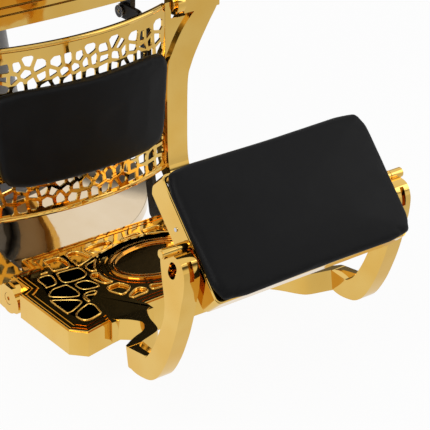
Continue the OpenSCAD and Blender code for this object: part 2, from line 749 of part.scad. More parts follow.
// The wing is a thin web that fills the corner between the panel and the flare.
wing_back = 6;
wing_t = 3;
wing_foot_share = 0.5;
wing_drop = 24;
wing_strip_w = 12;
module rail(s) {
    flare_z = leg_hinge[1] + flare_rise - rail_low_z;
    in_x = rail_half_w - rail_w;
    tip_in_x = toe_out_x - toe_tip_t;
    span = boss_out_x - flare_rise - rail_half_w;
    inner = spline(scaled(flare_inner_shares, [span, flare_z], [in_x, rail_low_z]), 5);
    outer = spline(scaled(flare_outer_shares, [span, flare_z], [rail_half_w, rail_low_z]), 5);
    wing_y = -rail_front_y + wing_back;
    wing_z = leg_hinge[1] - wing_drop;
    wing = [for (p = inner) if (p[1] > rail_low_z + wing_foot_share * flare_z && p[1] < wing_z)
        p + [over, 0]];
    wing_foot = [in_x, rail_low_z + wing_foot_share * flare_z];
    wing_top = [for (x = [in_x + wing_strip_w, in_x]) [x, panel_z + panel_h]];
    shoulder = [[wing[len(wing) - 1][0], wing_z], [in_x + wing_strip_w, wing_z]];
    size = [-rail_front_y - toe_front_y, rail_low_z + toe_join - toe_low_z];
    toe = spline(scaled(toe_shares, size, [toe_front_y, toe_low_z]), 4);
    color(gold) on_side(s) difference() {
        union() {
            xz_plate(-rail_front_y, rail_back_y) polygon(concat(inner, outer));
            xz_plate(wing_y, wing_y + wing_t) polygon(concat([wing_foot], wing, shoulder, wing_top));
            rod_x(boss_r, boss_in_x, boss_out_x, leg_hinge);
            yz_plate(in_x, toe_out_x) polygon(toe);
            yz_plate(tip_in_x, toe_out_x) translate(toe_pin) circle(toe_eye_r, $fn = round_fn);
        }
        // Room for the footplate beside the thin tip of the toe, at every angle
        block([0, toe_front_y - toe_eye_r, 0], [tip_in_x, notch_y + gap, rail_low_z]);
        rod_x(toe_relief_r, 0, tip_in_x, toe_pin);
        // The rail's side stays flush down to the arm
        block([rail_half_w, toe_front_y, plate_z - flush_drop],
              [toe_out_x + over, rail_back_y + rail_depth, rail_low_z + toe_join + over]);
        // A flat on the boss, flush with the flare's face
        block([0, -rail_front_y - boss_r, leg_hinge[1] - boss_r], [seat_half_w, -rail_front_y, seat_z]);
        // Bores, and the recess of the toe screw's head
        rod_x(hinge_pin_r + run_c, boss_in_x - over, boss_out_x + over, leg_hinge);
        rod_x(toe_pin_r + run_c, tip_in_x - over, toe_out_x + over, toe_pin);
        rod_x(toe_head_r + gap, toe_out_x - toe_head_h, toe_out_x + over, toe_pin);
    }
}

toe_pin_r = 6;
toe_head_r = 9.5;
toe_head_h = 6;
toe_socket = [3.4, 4];
plate_side_t = 8;
module toe_screws() {
    head_x = toe_out_x - toe_head_h + gap;
    color(gold) pair() difference() {
        union() {
            rod_x(toe_pin_r, toe_out_x - toe_tip_t - plate_side_t - edge, head_x, toe_pin);
            rod_x(toe_head_r, head_x, toe_out_x - gap, toe_pin);
        }
        rod_x(toe_socket[0], toe_out_x - gap - toe_socket[1], toe_out_x + over, toe_pin, 6);
    }
}

// Calf panel: a pierced sheet that bows forward between the rails, with rolled lips

panel_rise = 20;
panel_z = plate_z + panel_rise;
panel_half_w = rail_half_w - rail_w;
panel_r = (panel_half_w * panel_half_w + panel_bow * panel_bow) / (2 * panel_bow);
panel_centre_y = panel_r - rail_front_y - panel_bow + wing_back;
panel_angle = asin(panel_half_w / panel_r);
panel_end_turn = 0.08;
panel_edge_turn = 1.6;
lip_r = 5;
calf_pad_rise_share = 0.49;
calf_pad_mid_z = panel_z + panel_h * calf_pad_rise_share;
calf_pad_crown = 2;
calf_pad_roll = 10;
calf_pad_pull = 1;
calf_pad_taper = 8;
calf_pad_power = 9;
module panel_place() {
    translate([0, panel_centre_y, 0]) rotate([0, 0, -90]) children();
}

// Rows of the pattern: [height share of the panel, number of cells]
panel_row_shares = [[0.075, 16], [0.135, 17], [0.195, 16], [0.77, 16], [0.83, 17], [0.888, 16]];
panel_row_step_share = 0.062;
panel_web = 5.5;
module calf_panel() {
    sweep = 2 * (panel_angle - panel_end_turn);
    lip_x = panel_r - lip_r + panel_t / 3;
    width = 2 * (panel_angle - panel_edge_turn) * panel_r * PI / 180;
    step = panel_row_step_share * panel_h;
    sites = row_sites([for (r = panel_row_shares) [r[0] * panel_h, r[1]]], width, step, 300);
    color(gold) panel_place() difference() {
        rotate([0, 0, -sweep / 2]) rotate_extrude(angle = sweep, $fn = 192) {
            translate([panel_r - panel_t, panel_z]) square([panel_t, panel_h]);
            for (z = [panel_z + lip_r, panel_z + panel_h - lip_r]) translate([lip_x, z])
                circle(lip_r, $fn = 24);
        }
        for (c = sites) rotate([0, 0, c[0] / panel_r * 180 / PI])
            translate([panel_r - panel_t - over, 0, panel_z]) rotate([90, 0, 90])
                linear_extrude(panel_t + 2 * over) translate([-c[0], 0])
                    polygon(cell_at(c, sites, [width / panel_row_shares[0][1], step], panel_web));
    }
}

module calf_pad() {
    color(black_hide) translate([0, panel_centre_y, calf_pad_mid_z]) rotate([90, 0, 0])
        translate([0, 0, panel_r + bowed_seat_c])
            cushion(calf_pad_half_w, calf_pad_h / 2, calf_pad_t, calf_pad_crown, calf_pad_roll, calf_pad_pull,
                    calf_pad_taper, -panel_r, calf_pad_power);
}

// Levelling links: cranked plates that keep behind the calf panel. The left one is driven by the back.

link_corner = [-64, -20];
link_knee = [-8, -10];
link_heel = [-22, -8];
module link(s) {
    corner = link_top + link_corner;
    shoulder = [corner[0] + link_w, link_top[1]];
    knee = [corner[0] + link_knee[0], panel_z + link_knee[1]];
    heel = [corner[0] + link_heel[0], link_foot[1] + link_heel[1]];
    color(black_paint) on_side(s) difference() {
        yz_plate(link_in_x, link_in_x + link_t) {
            bar_2d(link_top, shoulder, link_w * 1.15);
            bar_2d(shoulder, corner, link_w * 1.1);
            bar_2d(corner, knee, link_w);
            bar_2d(knee, heel, link_w);
            bar_2d(heel, link_foot, link_w * 0.9);
            if (s < 0) bar_2d(link_top, link_drive, link_w);
        }
        rod_x(link_pin_r + run_c, link_in_x - over, link_in_x + link_t + over, link_top);
        rod_x(foot_pin_r + run_c, link_in_x - over, link_in_x + link_t + over, link_foot);
    }
    if (s < 0) color(bright_steel) on_side(s) rod_x(link_pin_r, drive_in_x - edge, link_in_x, link_drive);
}

drive_t = 8;
drive_w = 20;
drive_out_x = link_in_x - gap;
drive_in_x = drive_out_x - drive_t;
module drive_rod() {
    color(black_paint) on_side(-1) difference() {
        yz_plate(drive_in_x, drive_out_x) bar_2d(link_drive, back_drive, drive_w);
        for (p = [link_drive, back_drive])
            rod_x(link_pin_r + run_c, drive_in_x - over, drive_out_x + over, p);
    }
}

// Footplate: a skirted casting with raised border lines and crackle recesses

plate_front_y = -plate_rear_y - plate_depth;
plate_skirt_z = plate_z - plate_skirt_h;
plate_top_t = 10;
front_waist = 20;
chamfer = [20, 22];
notch_x = toe_out_x - toe_tip_t - gap;
notch_step = 8;
notch_step_x = panel_half_w - notch_step;
notch_slope = 5;
toe_gap = 2;
front_break_shares = [0.304, 0.609];
inset_slope_share = 0.5;
// The right half of the outline, from the middle of the rear edge to the middle of the front edge.
function plate_half(inset) =
    let (slope = inset * inset_slope_share)
    [[0, -plate_rear_y - inset], [notch_step_x - inset, -plate_rear_y - inset],
     [notch_step_x + edge - inset, notch_y - inset - over], [notch_x - inset, notch_y - inset - notch_slope],
     [notch_x - inset, toe_front_y - toe_gap - slope],
         [plate_half_w - inset, toe_front_y - notch_step - inset],
     [plate_half_w - inset, plate_front_y + chamfer[1] + slope],
     [plate_half_w - chamfer[0] - slope, plate_front_y + inset],
     [plate_half_w * (1 - front_break_shares[0]), plate_front_y + front_waist / 2 + inset],
     [plate_half_w * (1 - front_break_shares[1]), plate_front_y + front_waist + inset],
     [0, plate_front_y + front_waist + toe_gap + inset]];
module plate_outline(inset) {
    half = plate_half(inset);
    polygon(concat(half, mirrored(half)));
}

line_h = 2.5;
line_w = 3;
line_insets = [5, 13];
plate_brim = 2;
plate_field_inset = 25;
// Oval grooves round the medallion, each at this distance from its rim
oval_groove_steps = [4, 13];
plate_cells = [9, 5];
plate_cell_depth = 3;
plate_web = 8;
plate_keep_off = 22;
root_keep_off = 6;
valance_h = 14;
foot_lug_t = 9;
foot_lug_x = link_in_x - gap;
foot_lug_w = 24;
foot_lug_l = 54;
foot_lug_block = [21, 130];
root_wall = 8;
module footplate() {
    width = 2 * (plate_half_w - plate_field_inset);
    step = (plate_depth - 2 * plate_field_inset) / plate_cells[1];
    sites = row_sites([for (k = [0 : plate_cells[1] - 1])
        [-plate_rear_y - plate_field_inset - (k + 0.5) * step, plate_cells[0]]], width, step, 700);
    lug_top_z = plate_z - plate_top_t + over;
    color(gold) difference() {
        union() {
            xy_plate(plate_skirt_z, plate_z - line_h) plate_outline(0);
            xy_plate(plate_z - line_h - over, plate_z) difference() {
                plate_outline(plate_brim);
                for (inset = line_insets) difference() {
                    plate_outline(inset);
                    plate_outline(inset + line_w);
                }
                for (c = oval_groove_steps) difference() {
                    medallion_2d(c + line_w);
                    medallion_2d(c);
                }
            }
            // The front wall hangs lower between the yokes
            xy_plate(plate_skirt_z - valance_h, plate_skirt_z + over) intersection() {
                difference() {
                    plate_outline(0);
                    plate_outline(plate_side_t);
                }
                translate([0, plate_front_y]) square([2 * root_in_share * plate_half_w, plate_depth / 2],
                                                     center = true);
            }
            pair() yz_plate(foot_lug_x - foot_lug_t, foot_lug_x) {
                bar_2d(link_foot, link_foot + foot_lug_w * [-2.25, 1], foot_lug_w);
                translate([link_foot[0] - foot_lug_l - foot_lug_w, link_foot[1] + foot_lug_w / 2])
                    square([foot_lug_l - foot_lug_w / 4, lug_top_z - link_foot[1] - foot_lug_w / 2]);
            }
        }
        // Hollow underside, with a wall round each yoke's root
        xy_plate(plate_skirt_z - over, plate_z - plate_top_t) difference() {
            plate_outline(plate_side_t);
            for (s = [-1, 1]) translate([s * (foot_lug_x - foot_lug_t / 2),
                -plate_rear_y - foot_lug_block[1] / 2])
                square(foot_lug_block, center = true);
            pair() yoke_root_2d(root_wall);
        }
        // Crackle recesses, clear of the border, the medallion and the yoke roots
        xy_plate(plate_z - plate_cell_depth, plate_z + over) difference() {
            intersection() {
                plate_outline(plate_field_inset);
                for (c = sites) polygon(cell_at(c, sites, [width / plate_cells[0], step], plate_web));
            }
            medallion_2d(plate_keep_off);
            pair() yoke_root_2d(root_keep_off);
        }
        // Seats of the medallion and of the yokes, and the bores
        medallion_oval(gap, plate_z - medallion_seat, plate_z + over);
        pair() {
            xy_plate(plate_z - yoke_t - gap, plate_z + over) yoke_root_2d(gap);
            rod_x(toe_pin_r + run_c, notch_x - 2 * plate_side_t, notch_x + over, toe_pin);
            rod_x(foot_pin_r + run_c, foot_lug_x - foot_lug_t - over, foot_lug_x + over, link_foot);
        }
    }
}

medallion_y_share = 0.484;
medallion_y = -plate_rear_y - plate_depth * medallion_y_share;
medallion_seat = 4;
medallion_drop = 1;
medallion_ring_h = 3.5;
module medallion_2d(c) {
    translate([0, medallion_y]) oval_2d(medallion_a + c, medallion_b + c);
}

module medallion_oval(c, z1, z2) {
    xy_plate(z1, z2) medallion_2d(c);
}

ring_inset_shares = [0, 0.05, 0.13, 0.18];
module medallion() {
    field_z = plate_z - medallion_drop;
    color(dark_gold) {
        medallion_oval(0, plate_z - medallion_seat, field_z);
        for (k = [0, 1]) difference() {
            medallion_oval(-medallion_b * ring_inset_shares[2 * k], field_z, field_z + medallion_ring_h);
            medallion_oval(-medallion_b * ring_inset_shares[2 * k + 1], field_z - over,
                           plate_z + 2 * medallion_ring_h);
        }
    }
}

foot_pin_r = 5;
foot_pin_head_t = 4;
module link_foot_pins() {
    in_x = foot_lug_x - foot_lug_t;
    out_x = link_in_x + link_t + gap;
    color(bright_steel) pair() {
        rod_x(foot_pin_r, in_x, out_x, link_foot);
        rod_x(foot_pin_r * 1.5, out_x, out_x + foot_pin_head_t, link_foot, 6);
        rod_x(foot_pin_r * 1.5, in_x - foot_pin_head_t, in_x, link_foot, 6);
    }
}

// Yokes: a root let into the plate, an S bend, and a hooked arm that carries the trunnion.
// Root: X as shares of the plate's half width. S bend: X as shares of the way from root to hook.

yoke_t = 33;
yoke_root_share = 0.662;
yoke_root_y = -plate_rear_y - plate_depth * yoke_root_share;
root_end = 10;
root_len = yoke_root_y - plate_front_y - root_end;
root_in_share = 0.4045;
yoke_rise = 8.5;
root_shares = [[0.6565, 0], [0.6085, 0.07], [0.552, -0.1], [0.5085, 0.22], [0.4565, 0.55],
    [root_in_share, 0.9],
               [root_in_share, 1.13]];
root_outer_shares = [[0.73, 1.13], [0.717, 0.95], [0.687, 0.66], [0.665, 0.35]];
module yoke_root_2d(c) {
    polygon(grown([for (s = concat(root_shares, root_outer_shares))
        [s[0] * plate_half_w, yoke_root_y - s[1] * root_len]], c));
}

s_bend_end = 74;
s_inner_shares = [[0, -0.3], [0, 0], [0.163, 0.094], [0.333, 0.318], [0.438, 0.541], [0.538, 0.677],
                  [0.733, 0.741], [0.986, 0.802], [1.12, 0.868], [1.165, 0.954], [1.188, 1.095], [1.2, 1.16]];
s_outer_shares = [[1, 1.16], [1, 0.81], [0.942, 0.741], [0.751, 0.639], [0.567, 0.568], [0.454, 0.467],
                  [0.404, 0.36], [0.42, 0.28], [0.487, 0.157], [0.6, 0.03], [0.62, -0.05], [0.62, -0.3]];
hook_drop = 18;
hook_rise = 8;
hook_low_z = plate_z - hook_drop;
hook_shares = [[1, 0.13], [1, 0.06], [0.976, 0.012], [0.864, -0.004], [0.716, 0.002], [0.569, 0.026],
               [0.435, 0.09], [0.29, 0.226], [0.183, 0.37], [0.122, 0.47], [0.07, 0.575], [0.029, 0.679],
               [-0.004, 0.752], [-0.02, 0.854], [0.009, 0.915], [0.06, 0.95], [0.151, 0.962],
               [0.216, 0.945], [0.276, 0.925]];
hook_inner_shares = [[0.383, 0.926], [0.386, 0.873], [0.359, 0.763], [0.33, 0.67], [0.317, 0.6],
                     [0.338, 0.51], [0.4, 0.419], [0.49, 0.306], [0.601, 0.2], [0.693, 0.147],
                     [0.767, 0.133], [0.99, 0.142]];
hook_depth = 132;
hook_reach = 34;
hook_front_y = -trunnion_y - hook_reach;
trunnion_r = 7.5;
trunnion = [-trunnion_y, trunnion_z];
saddle_wall = 6.5;
saddle_turn = -16;
saddle_cut = 30;
saddle_drop = 3;
hook_hole = [[-12, -18], [-8, -29]];
hook_hole_w = 16;
hook_slot = [7, 27];
hook_slot_z = -33;
hook_slot_depth = 9;
module yoke(s) {
    front = plate_front_y + front_waist / 2;
    s_len = trunnion_y + front - s_bend_end;
    root_in_x = plate_half_w * root_in_share;
    hook_in_x = hook_half_w - hook_t;
    mid_x = hook_in_x + hook_t / 2;
    s_bend = concat(scaled(s_inner_shares, [hook_in_x - root_in_x, -s_len], [root_in_x, front]),
                    scaled(s_outer_shares, [hook_half_w - root_in_x, -s_len], [root_in_x, front]));
    size = [hook_depth, trunnion_z + hook_rise - hook_low_z];
    hook = concat(spline(scaled(hook_shares, size, [hook_front_y, hook_low_z]), 4),
                  spline(scaled(hook_inner_shares, size, [hook_front_y, hook_low_z]), 4));
    color(gold) on_side(s) difference() {
        union() {
            xy_plate(plate_z - yoke_t, plate_z) yoke_root_2d(0);
            translate([0, front, plate_z]) rotate([-yoke_rise, 0, 0]) intersection() {
                translate([0, -front, -plate_z]) xy_plate(plate_z - yoke_t, plate_z)
                    polygon(spline(s_bend, 3));
                block([0, -trunnion_y - front, -plate_z], [hook_half_w, 0, trunnion_z - plate_z]);
            }
            yz_plate(hook_in_x, hook_half_w) {
                polygon(hook);
                translate(trunnion) circle(trunnion_r + saddle_wall, $fn = round_fn);
            }
        }
        // Open saddle of the trunnion pin
        rod_x(trunnion_r + run_c, hook_in_x - over, hook_half_w + over, trunnion);
        translate([0, trunnion[0], trunnion[1]]) rotate([saddle_turn, 0, 0])
            block([hook_in_x - over, -saddle_cut / 2, -saddle_drop],
                  [hook_half_w + over, saddle_cut, saddle_cut]);
        // Elongated hole below the saddle, and the slot in the front strip
        yz_plate(hook_in_x - over, hook_half_w + over)
            bar_2d(trunnion + hook_hole[0], trunnion + hook_hole[1], hook_hole_w);
        block([mid_x - hook_slot[0] / 2, hook_front_y - hook_slot[0], trunnion_z + hook_slot_z],
              [mid_x + hook_slot[0] / 2, hook_front_y + hook_slot_depth,
                  trunnion_z + hook_slot_z + hook_slot[1]]);
    }
}

// Flip footrest, drawn flat about its trunnion and then tilted

tray_lip = 10;
tray_wall = 3;
tray_rim = 1.5;
tray_back_share = 0.525;
tray_back = tray_d * tray_back_share;
tray_corner = 9;
tray_slope = 28;
rest_pad_edge = 7;
rest_pad_roll = 9;
rest_pad_brim = 1.5;
rest_pad_power = 14;
module rest_place() {
    translate([0, trunnion[0], trunnion[1]]) rotate([rest_tilt, 0, 0]) children();
}

module tray_2d(inset) {
    translate([0, tray_back - tray_d / 2]) rounded_2d(tray_w - 2 * inset, tray_d - 2 * inset, tray_corner);
}

module footrest_tray() {
    low = tray_lip - tray_h;
    color(gold) rest_place() difference() {
        union() {
            xy_plate(low, tray_lip) tray_2d(0);
            xy_plate(tray_lip, tray_lip + tray_rim) tray_2d(tray_rim);
        }
        xy_plate(low + tray_wall, tray_lip + 2 * tray_rim) tray_2d(tray_wall + tray_rim);
        // Sloping cut along the rear edge
        yz_plate(-tray_w / 2 - over, tray_w / 2 + over)
            polygon([[tray_back - tray_slope / 2, low - over], [tray_back + over, low - over],
                     [tray_back + over, low + tray_slope / 2]]);
        rod_x(trunnion_r + run_c, -tray_w / 2 - over, tray_w / 2 + over, [0, 0]);
    }
}

module footrest_cushion() {
    color(black_hide) rest_place() translate([0, tray_back - tray_d / 2, tray_lip + tray_rim + seat_c])
        cushion(tray_w / 2 + rest_pad_brim, tray_d / 2 + rest_pad_brim, rest_crown, rest_pad_edge,
                rest_pad_roll, 0, 0, 0, rest_pad_power);
}

pin_end = 11;
pin_groove_w = 2;
pin_button = [5.5, 1.5];
module trunnion_pins() {
    groove_x = hook_half_w - hook_t / 2;
    color(gold) rest_place() pair() difference() {
        union() {
            rod_x(trunnion_r, tray_w / 2 - tray_wall - tray_rim, hook_half_w + pin_end, [0, 0]);
            rod_x(pin_button[0], hook_half_w, hook_half_w + pin_end + pin_button[1], [0, 0]);
        }
        // Collar groove
        difference() {
            rod_x(trunnion_r + over, groove_x, groove_x + pin_groove_w, [0, 0]);
            rod_x(trunnion_r - over, groove_x - over, groove_x + pin_groove_w + over, [0, 0]);
        }
    }
}

screw_r = 3;
screw_head_t = 1.5;
screw_place_shares = [[0.14, -0.2], [-0.17, -0.2]];
module tray_screws() {
    color(bright_steel) rest_place() pair() for (p = screw_place_shares)
        rod_x(screw_r, tray_w / 2, tray_w / 2 + screw_head_t, [p[0] * tray_d, p[1] * tray_h], small_fn);
}

// Back, drawn upright at its pivot and then leaned back

back_pin_r = 9;
back_pin_in = 40;
back_pin_head_t = 5;
back_tube_r = 15;
back_tube_bore = 46;
upright_x = 190;
upright_t = 12;
upright_w = 26;
upright_foot_h = 34;
upright_short = 60;
crank_x = link_in_x;
crank_t = 10;
crank_w = 26;
shell_low = 70;
shell_t = 8;
shell_r = 760;
cyl_x = 115;
cyl_rest_angle = 20;
cyl_pin = back_pivot + crank_l * [sin(cyl_rest_angle), -cos(cyl_rest_angle)];
cyl_axis_z = back_pivot[1] - crank_l * (1 + cos(cyl_rest_angle)) / 2;
cyl_pin_r = 5;
cyl_crank_offset = 10;
cyl_crank_x = cyl_x + cyl_crank_offset;
cyl_crank_t = 8;
eye_slack = 2.4;
module back_place() {
    translate([0, back_pivot[0], back_pivot[1]]) rotate([-back_lean, 0, 0]) children();
}

module back_cross_tube() {
    tube_end = seat_in_w - gap - over;
    color(black_paint) difference() {
        union() {
            rod_x(back_tube_r, -tube_end, tube_end, back_pivot);
            on_side(-1) yz_plate(crank_x, crank_x + crank_t) bar_2d(back_pivot, back_drive, crank_w);
            yz_plate(cyl_crank_x, cyl_crank_x + cyl_crank_t) bar_2d(back_pivot, cyl_pin, crank_w);
            on_side(-1) rod_x(link_pin_r, drive_in_x - edge, crank_x, back_drive);
            rod_x(cyl_pin_r, cyl_x - eye_t / 2 - edge, cyl_crank_x, cyl_pin);
        }
        pair() rod_x(back_pin_r + run_c, tube_end - back_tube_bore, tube_end + over, back_pivot);
    }
}

module back_pivot_pins() {
    color(gold) pair() {
        rod_x(back_pin_r, seat_in_w - back_pin_in, seat_half_w, back_pivot);
        rod_x(back_pin_r * 1.6, seat_half_w, seat_half_w + back_pin_head_t, back_pivot);
    }
}

module back_uprights() {
    top = shell_low + back_shell_h - upright_short;
    color(black_paint) back_place() pair() difference() {
        union() {
            block([upright_x, shell_out_w, 0], [upright_x + upright_t, shell_out_w + upright_w, top]);
            block([upright_x, -back_tube_r, 0],
                [upright_x + upright_t, shell_out_w + upright_w, upright_foot_h]);
        }
        rod_x(back_tube_r + run_c, upright_x - over, upright_x + upright_t + over, [0, 0]);
    }
}

// The shell is hollow towards the sitter, and its middle stands this far behind the pivot
shell_back_w = 34;
shell_out_w = shell_back_w - shell_r + sqrt(shell_r * shell_r - upright_x * upright_x) + gap;
shell_outline_shares = [[0, 0], [0.84, 0], [0.93, 0.04], [0.97, 0.2], [1, 0.45], [0.98, 0.7], [0.9, 0.88],
                        [0.78, 0.965], [0.6, 1], [0.3, 1.012], [0, 1.015]];
// Rows of the pattern: [height share of the shell, number of cells]
shell_row_shares = [[0.075, 14], [0.135, 15], [0.41, 15], [0.47, 14]];
shell_row_step_share = 0.06;
shell_field_share = 0.76;
shell_web = 5;
module back_shell() {
    right = spline(scaled(shell_outline_shares, [back_half_w, back_shell_h], [0, shell_low]), 4);
    top = shell_low + 1.1 * back_shell_h;
    width = 2 * back_half_w * shell_field_share;
    step = shell_row_step_share * back_shell_h;
    sites = row_sites([for (r = shell_row_shares) [shell_low + r[0] * back_shell_h, r[1]]], width, step, 900);
    low_z = shell_low + back_shell_h / 4;
    color(gold) back_place() difference() {
        intersection() {
            translate([0, shell_back_w - shell_r, 0]) difference() {
                cylinder(r = shell_r, h = top, $fn = 256);
                translate([0, 0, -over]) cylinder(r = shell_r - shell_t, h = top + 2 * over, $fn = 256);
            }
            xz_plate(-shell_r / 10, shell_back_w + over) polygon(concat(right, mirrored(right)));
        }
        xz_plate(-shell_r / 10, shell_back_w + over) for (c = sites)
            if (c[1] < low_z || abs(c[0]) > bar_w)
                polygon(cell_at(c, sites, [width / shell_row_shares[0][1], step], shell_web));
    }
}

back_pad_inset = 14;
back_pad_crown = 8;
back_pad_roll = 26;
back_pad_pull = 4;
back_pad_taper = -8;
module back_cushion() {
    low = shell_low + back_pad_inset;
    high = shell_low + back_shell_h - back_pad_inset;
    color(black_hide) back_place() translate([0, shell_back_w - shell_t - gap, (low + high) / 2])
        rotate([90, 0, 0])
        cushion(back_half_w - back_pad_inset, (high - low) / 2, back_cushion_t, back_pad_crown, back_pad_roll,
                back_pad_pull, back_pad_taper, shell_r - shell_t);
}

// Headrest: a flat bar in a socket behind the shell, with a hinged cushion on top

bar_w = 40;
bar_t = 8;
socket_t = 7;
socket_drop = 118;
socket_h = 92;
socket_low = shell_low + back_shell_h - socket_drop;
bar_in_w = shell_back_w + gap + socket_t + gap;
bar_out_w = bar_in_w + bar_t;
socket_out_w = bar_out_w + gap + socket_t;
bar_low = socket_low - headrest_travel - bar_t;
bar_neck = 80;
bar_top = shell_low + back_shell_h + bar_neck;
bar_eye_r = 11;
head_hinge = [(bar_in_w + bar_out_w) / 2, bar_top + bar_eye_r + edge];
head_pin_r = 5;
head_pin_end = 12;
head_ear_t = 7;
head_ear_r = 12;
head_inset = 14;
head_back_w = shell_back_w - head_inset;
head_plate_t = 5;
head_plate_shares = [0.3, -0.36, 0.3];
module headrest_socket() {
    top = socket_low + socket_h;
    color(gold) back_place() difference() {
        block([-bar_w / 2 - socket_t, shell_back_w + gap, socket_low],
            [bar_w / 2 + socket_t, socket_out_w, top]);
        block([-bar_w / 2 - gap, bar_in_w - gap, socket_low - over],
              [bar_w / 2 + gap, bar_out_w + gap, top + over]);
        knob_place() translate([0, 0, -socket_t - over])
            cylinder(r = knob_screw_r + run_c, h = socket_t + 2 * over, $fn = small_fn);
    }
}

module headrest_bar() {
    color(bright_steel) back_place() difference() {
        union() {
            block([-bar_w / 2, bar_in_w, bar_low], [bar_w / 2, bar_out_w, bar_top + edge]);
            rod_x(bar_eye_r, -bar_w / 2, bar_w / 2, head_hinge);
        }
        rod_x(head_pin_r + run_c, -bar_w, bar_w, head_hinge);
    }
}

module headrest_bracket() {
    ear_x = bar_w / 2 + gap;
    half_x = headrest_w * head_plate_shares[0];
    color(gold) back_place() {
        pair() yz_plate(ear_x, ear_x + head_ear_t) {
            translate(head_hinge) circle(head_ear_r, $fn = small_fn);
            translate([head_back_w, head_hinge[1] - head_ear_r])
                square([head_hinge[0] - head_back_w, 2 * head_ear_r]);
        }
        block([-half_x, head_back_w, head_hinge[1] + headrest_h * head_plate_shares[1]],
              [half_x, head_back_w + head_plate_t, head_hinge[1] + headrest_h * head_plate_shares[2]]);
        rod_x(head_pin_r, -ear_x - head_pin_end, ear_x + head_pin_end, head_hinge);
    }
}

head_pad_t = 62;
head_pad_crown = 8;
head_pad_roll = 24;
head_pad_pull = 2;
head_pad_drop_share = 0.03;
module headrest_cushion() {
    mid_z = head_hinge[1] - headrest_h * head_pad_drop_share;
    color(black_hide) back_place() translate([0, head_back_w - gap, mid_z]) rotate([90, 0, 0])
        cushion(headrest_w / 2, headrest_h / 2, head_pad_t, head_pad_crown, head_pad_roll, head_pad_pull);
}

knob_screw_r = 5;
knob_neck = [9, 6];
knob_r = 17;
knob_h = 16;
knob_lobe = [20, 6];
knob_lobe_n = 8;
module knob_place() {
    translate([0, socket_out_w, socket_low + socket_h / 2]) rotate([-90, 0, 0]) children();
}

module headrest_knob() {
    color(black_paint) back_place() knob_place() {
        translate([0, 0, knob_neck[1]]) difference() {
            cylinder(r = knob_r, h = knob_h, $fn = round_fn);
            for (i = [0 : knob_lobe_n - 1]) rotate([0, 0, 360 * i / knob_lobe_n])
                translate([knob_lobe[0], 0, -over])
                    cylinder(r = knob_lobe[1], h = knob_h + 2 * over, $fn = small_fn);
        }
        translate([0, 0, gap]) cylinder(r = knob_neck[0], h = knob_neck[1], $fn = small_fn);
        translate([0, 0, -socket_t]) cylinder(r = knob_screw_r, h = socket_t + knob_neck[1], $fn = small_fn);
    }
}

// Recline cylinder under the seat, whose rod ends in a loose eye round the back's crank pin

cyl_r = 12;
cyl_rod_r = 5;
cyl_rear_y = 46;
cyl_front_y = -140;
cyl_neck = 14;
cyl_end_t = 8;
cyl_tail_w = 16;
rod_start = 90;
eye_t = 14;
eye_wall = 4;
clevis_w = 32;
clevis_t = 8;
clevis_l = 20;
module cylinder_bracket() {
    top_z = plate_low_z - clevis_t;
    front = cyl_front_y - clevis_l / 2 + edge;
    color(black_paint) difference() {
        union() {
            block([cyl_x - clevis_w / 2, front, top_z],
                [cyl_x + clevis_w / 2, front + clevis_l - edge, plate_low_z]);
            for (x = [cyl_x - clevis_w / 2, cyl_x + clevis_w / 2 - clevis_t])
                block([x, front, cyl_axis_z - clevis_l / 2], [x + clevis_t, front + clevis_l - edge, top_z]);
        }
        rod_x(cyl_pin_r + run_c, cyl_x - clevis_w, cyl_x + clevis_w, [cyl_front_y, cyl_axis_z]);
    }
}

module recline_cylinder() {
    tail = [cyl_front_y, cyl_axis_z];
    color(black_paint) {
        translate([cyl_x, cyl_front_y + cyl_neck, cyl_axis_z]) rotate([-90, 0, 0]) difference() {
            cylinder(r = cyl_r, h = cyl_rear_y - cyl_front_y - cyl_neck, $fn = round_fn);
            translate([0, 0, cyl_end_t])
                cylinder(r = cyl_rod_r + run_c, h = cyl_rear_y - cyl_front_y, $fn = small_fn);
        }
        yz_plate(cyl_x - eye_t / 2, cyl_x + eye_t / 2) bar_2d(tail, tail + [cyl_neck, 0], cyl_tail_w);
        rod_x(cyl_pin_r, cyl_x - clevis_w / 2 - edge, cyl_x + clevis_w / 2 + edge, tail);
    }
}

module recline_rod() {
    eye_r = cyl_pin_r + eye_slack + eye_wall;
    start = cyl_front_y + rod_start;
    color(bright_steel) difference() {
        union() {
            translate([cyl_x, start, cyl_axis_z]) rotate([-90, 0, 0])
                cylinder(r = cyl_rod_r, h = cyl_pin[0] - eye_r + over - start, $fn = small_fn);
            rod_x(eye_r, cyl_x - eye_t / 2, cyl_x + eye_t / 2, [cyl_pin[0], cyl_axis_z]);
        }
        rod_x(cyl_pin_r + eye_slack, cyl_x - eye_t, cyl_x + eye_t, [cyl_pin[0], cyl_axis_z]);
    }
}

// Recline lever on the right side rail

lever_hub_y = 60;
lever_hub_rise = 30;
lever_hub = [-lever_hub_y, seat_z + lever_hub_rise];
lever_arm = [-150, -14];
lever_t = 8;
lever_w = 14;
lever_hub_r = 15;
lever_x = seat_half_w + side_rib[0] + gap;
lever_pin_r = 6;
lever_head_t = 5;
grip_profile_shares = [[0, 0], [0.6, 0], [0.67, 0.17], [0.93, 0.4], [1, 0.63], [0.8, 0.86], [0.4, 0.97],
    [0, 1]];
grip_r = 15;
grip_l = 35;
module recline_lever() {
    color(gold) difference() {
        yz_plate(lever_x, lever_x + lever_t) {
            translate(lever_hub) circle(lever_hub_r, $fn = small_fn);
            bar_2d(lever_hub, lever_hub + lever_arm, lever_w);
        }
        rod_x(lever_pin_r + run_c, lever_x - over, lever_x + lever_t + over, lever_hub);
    }
}

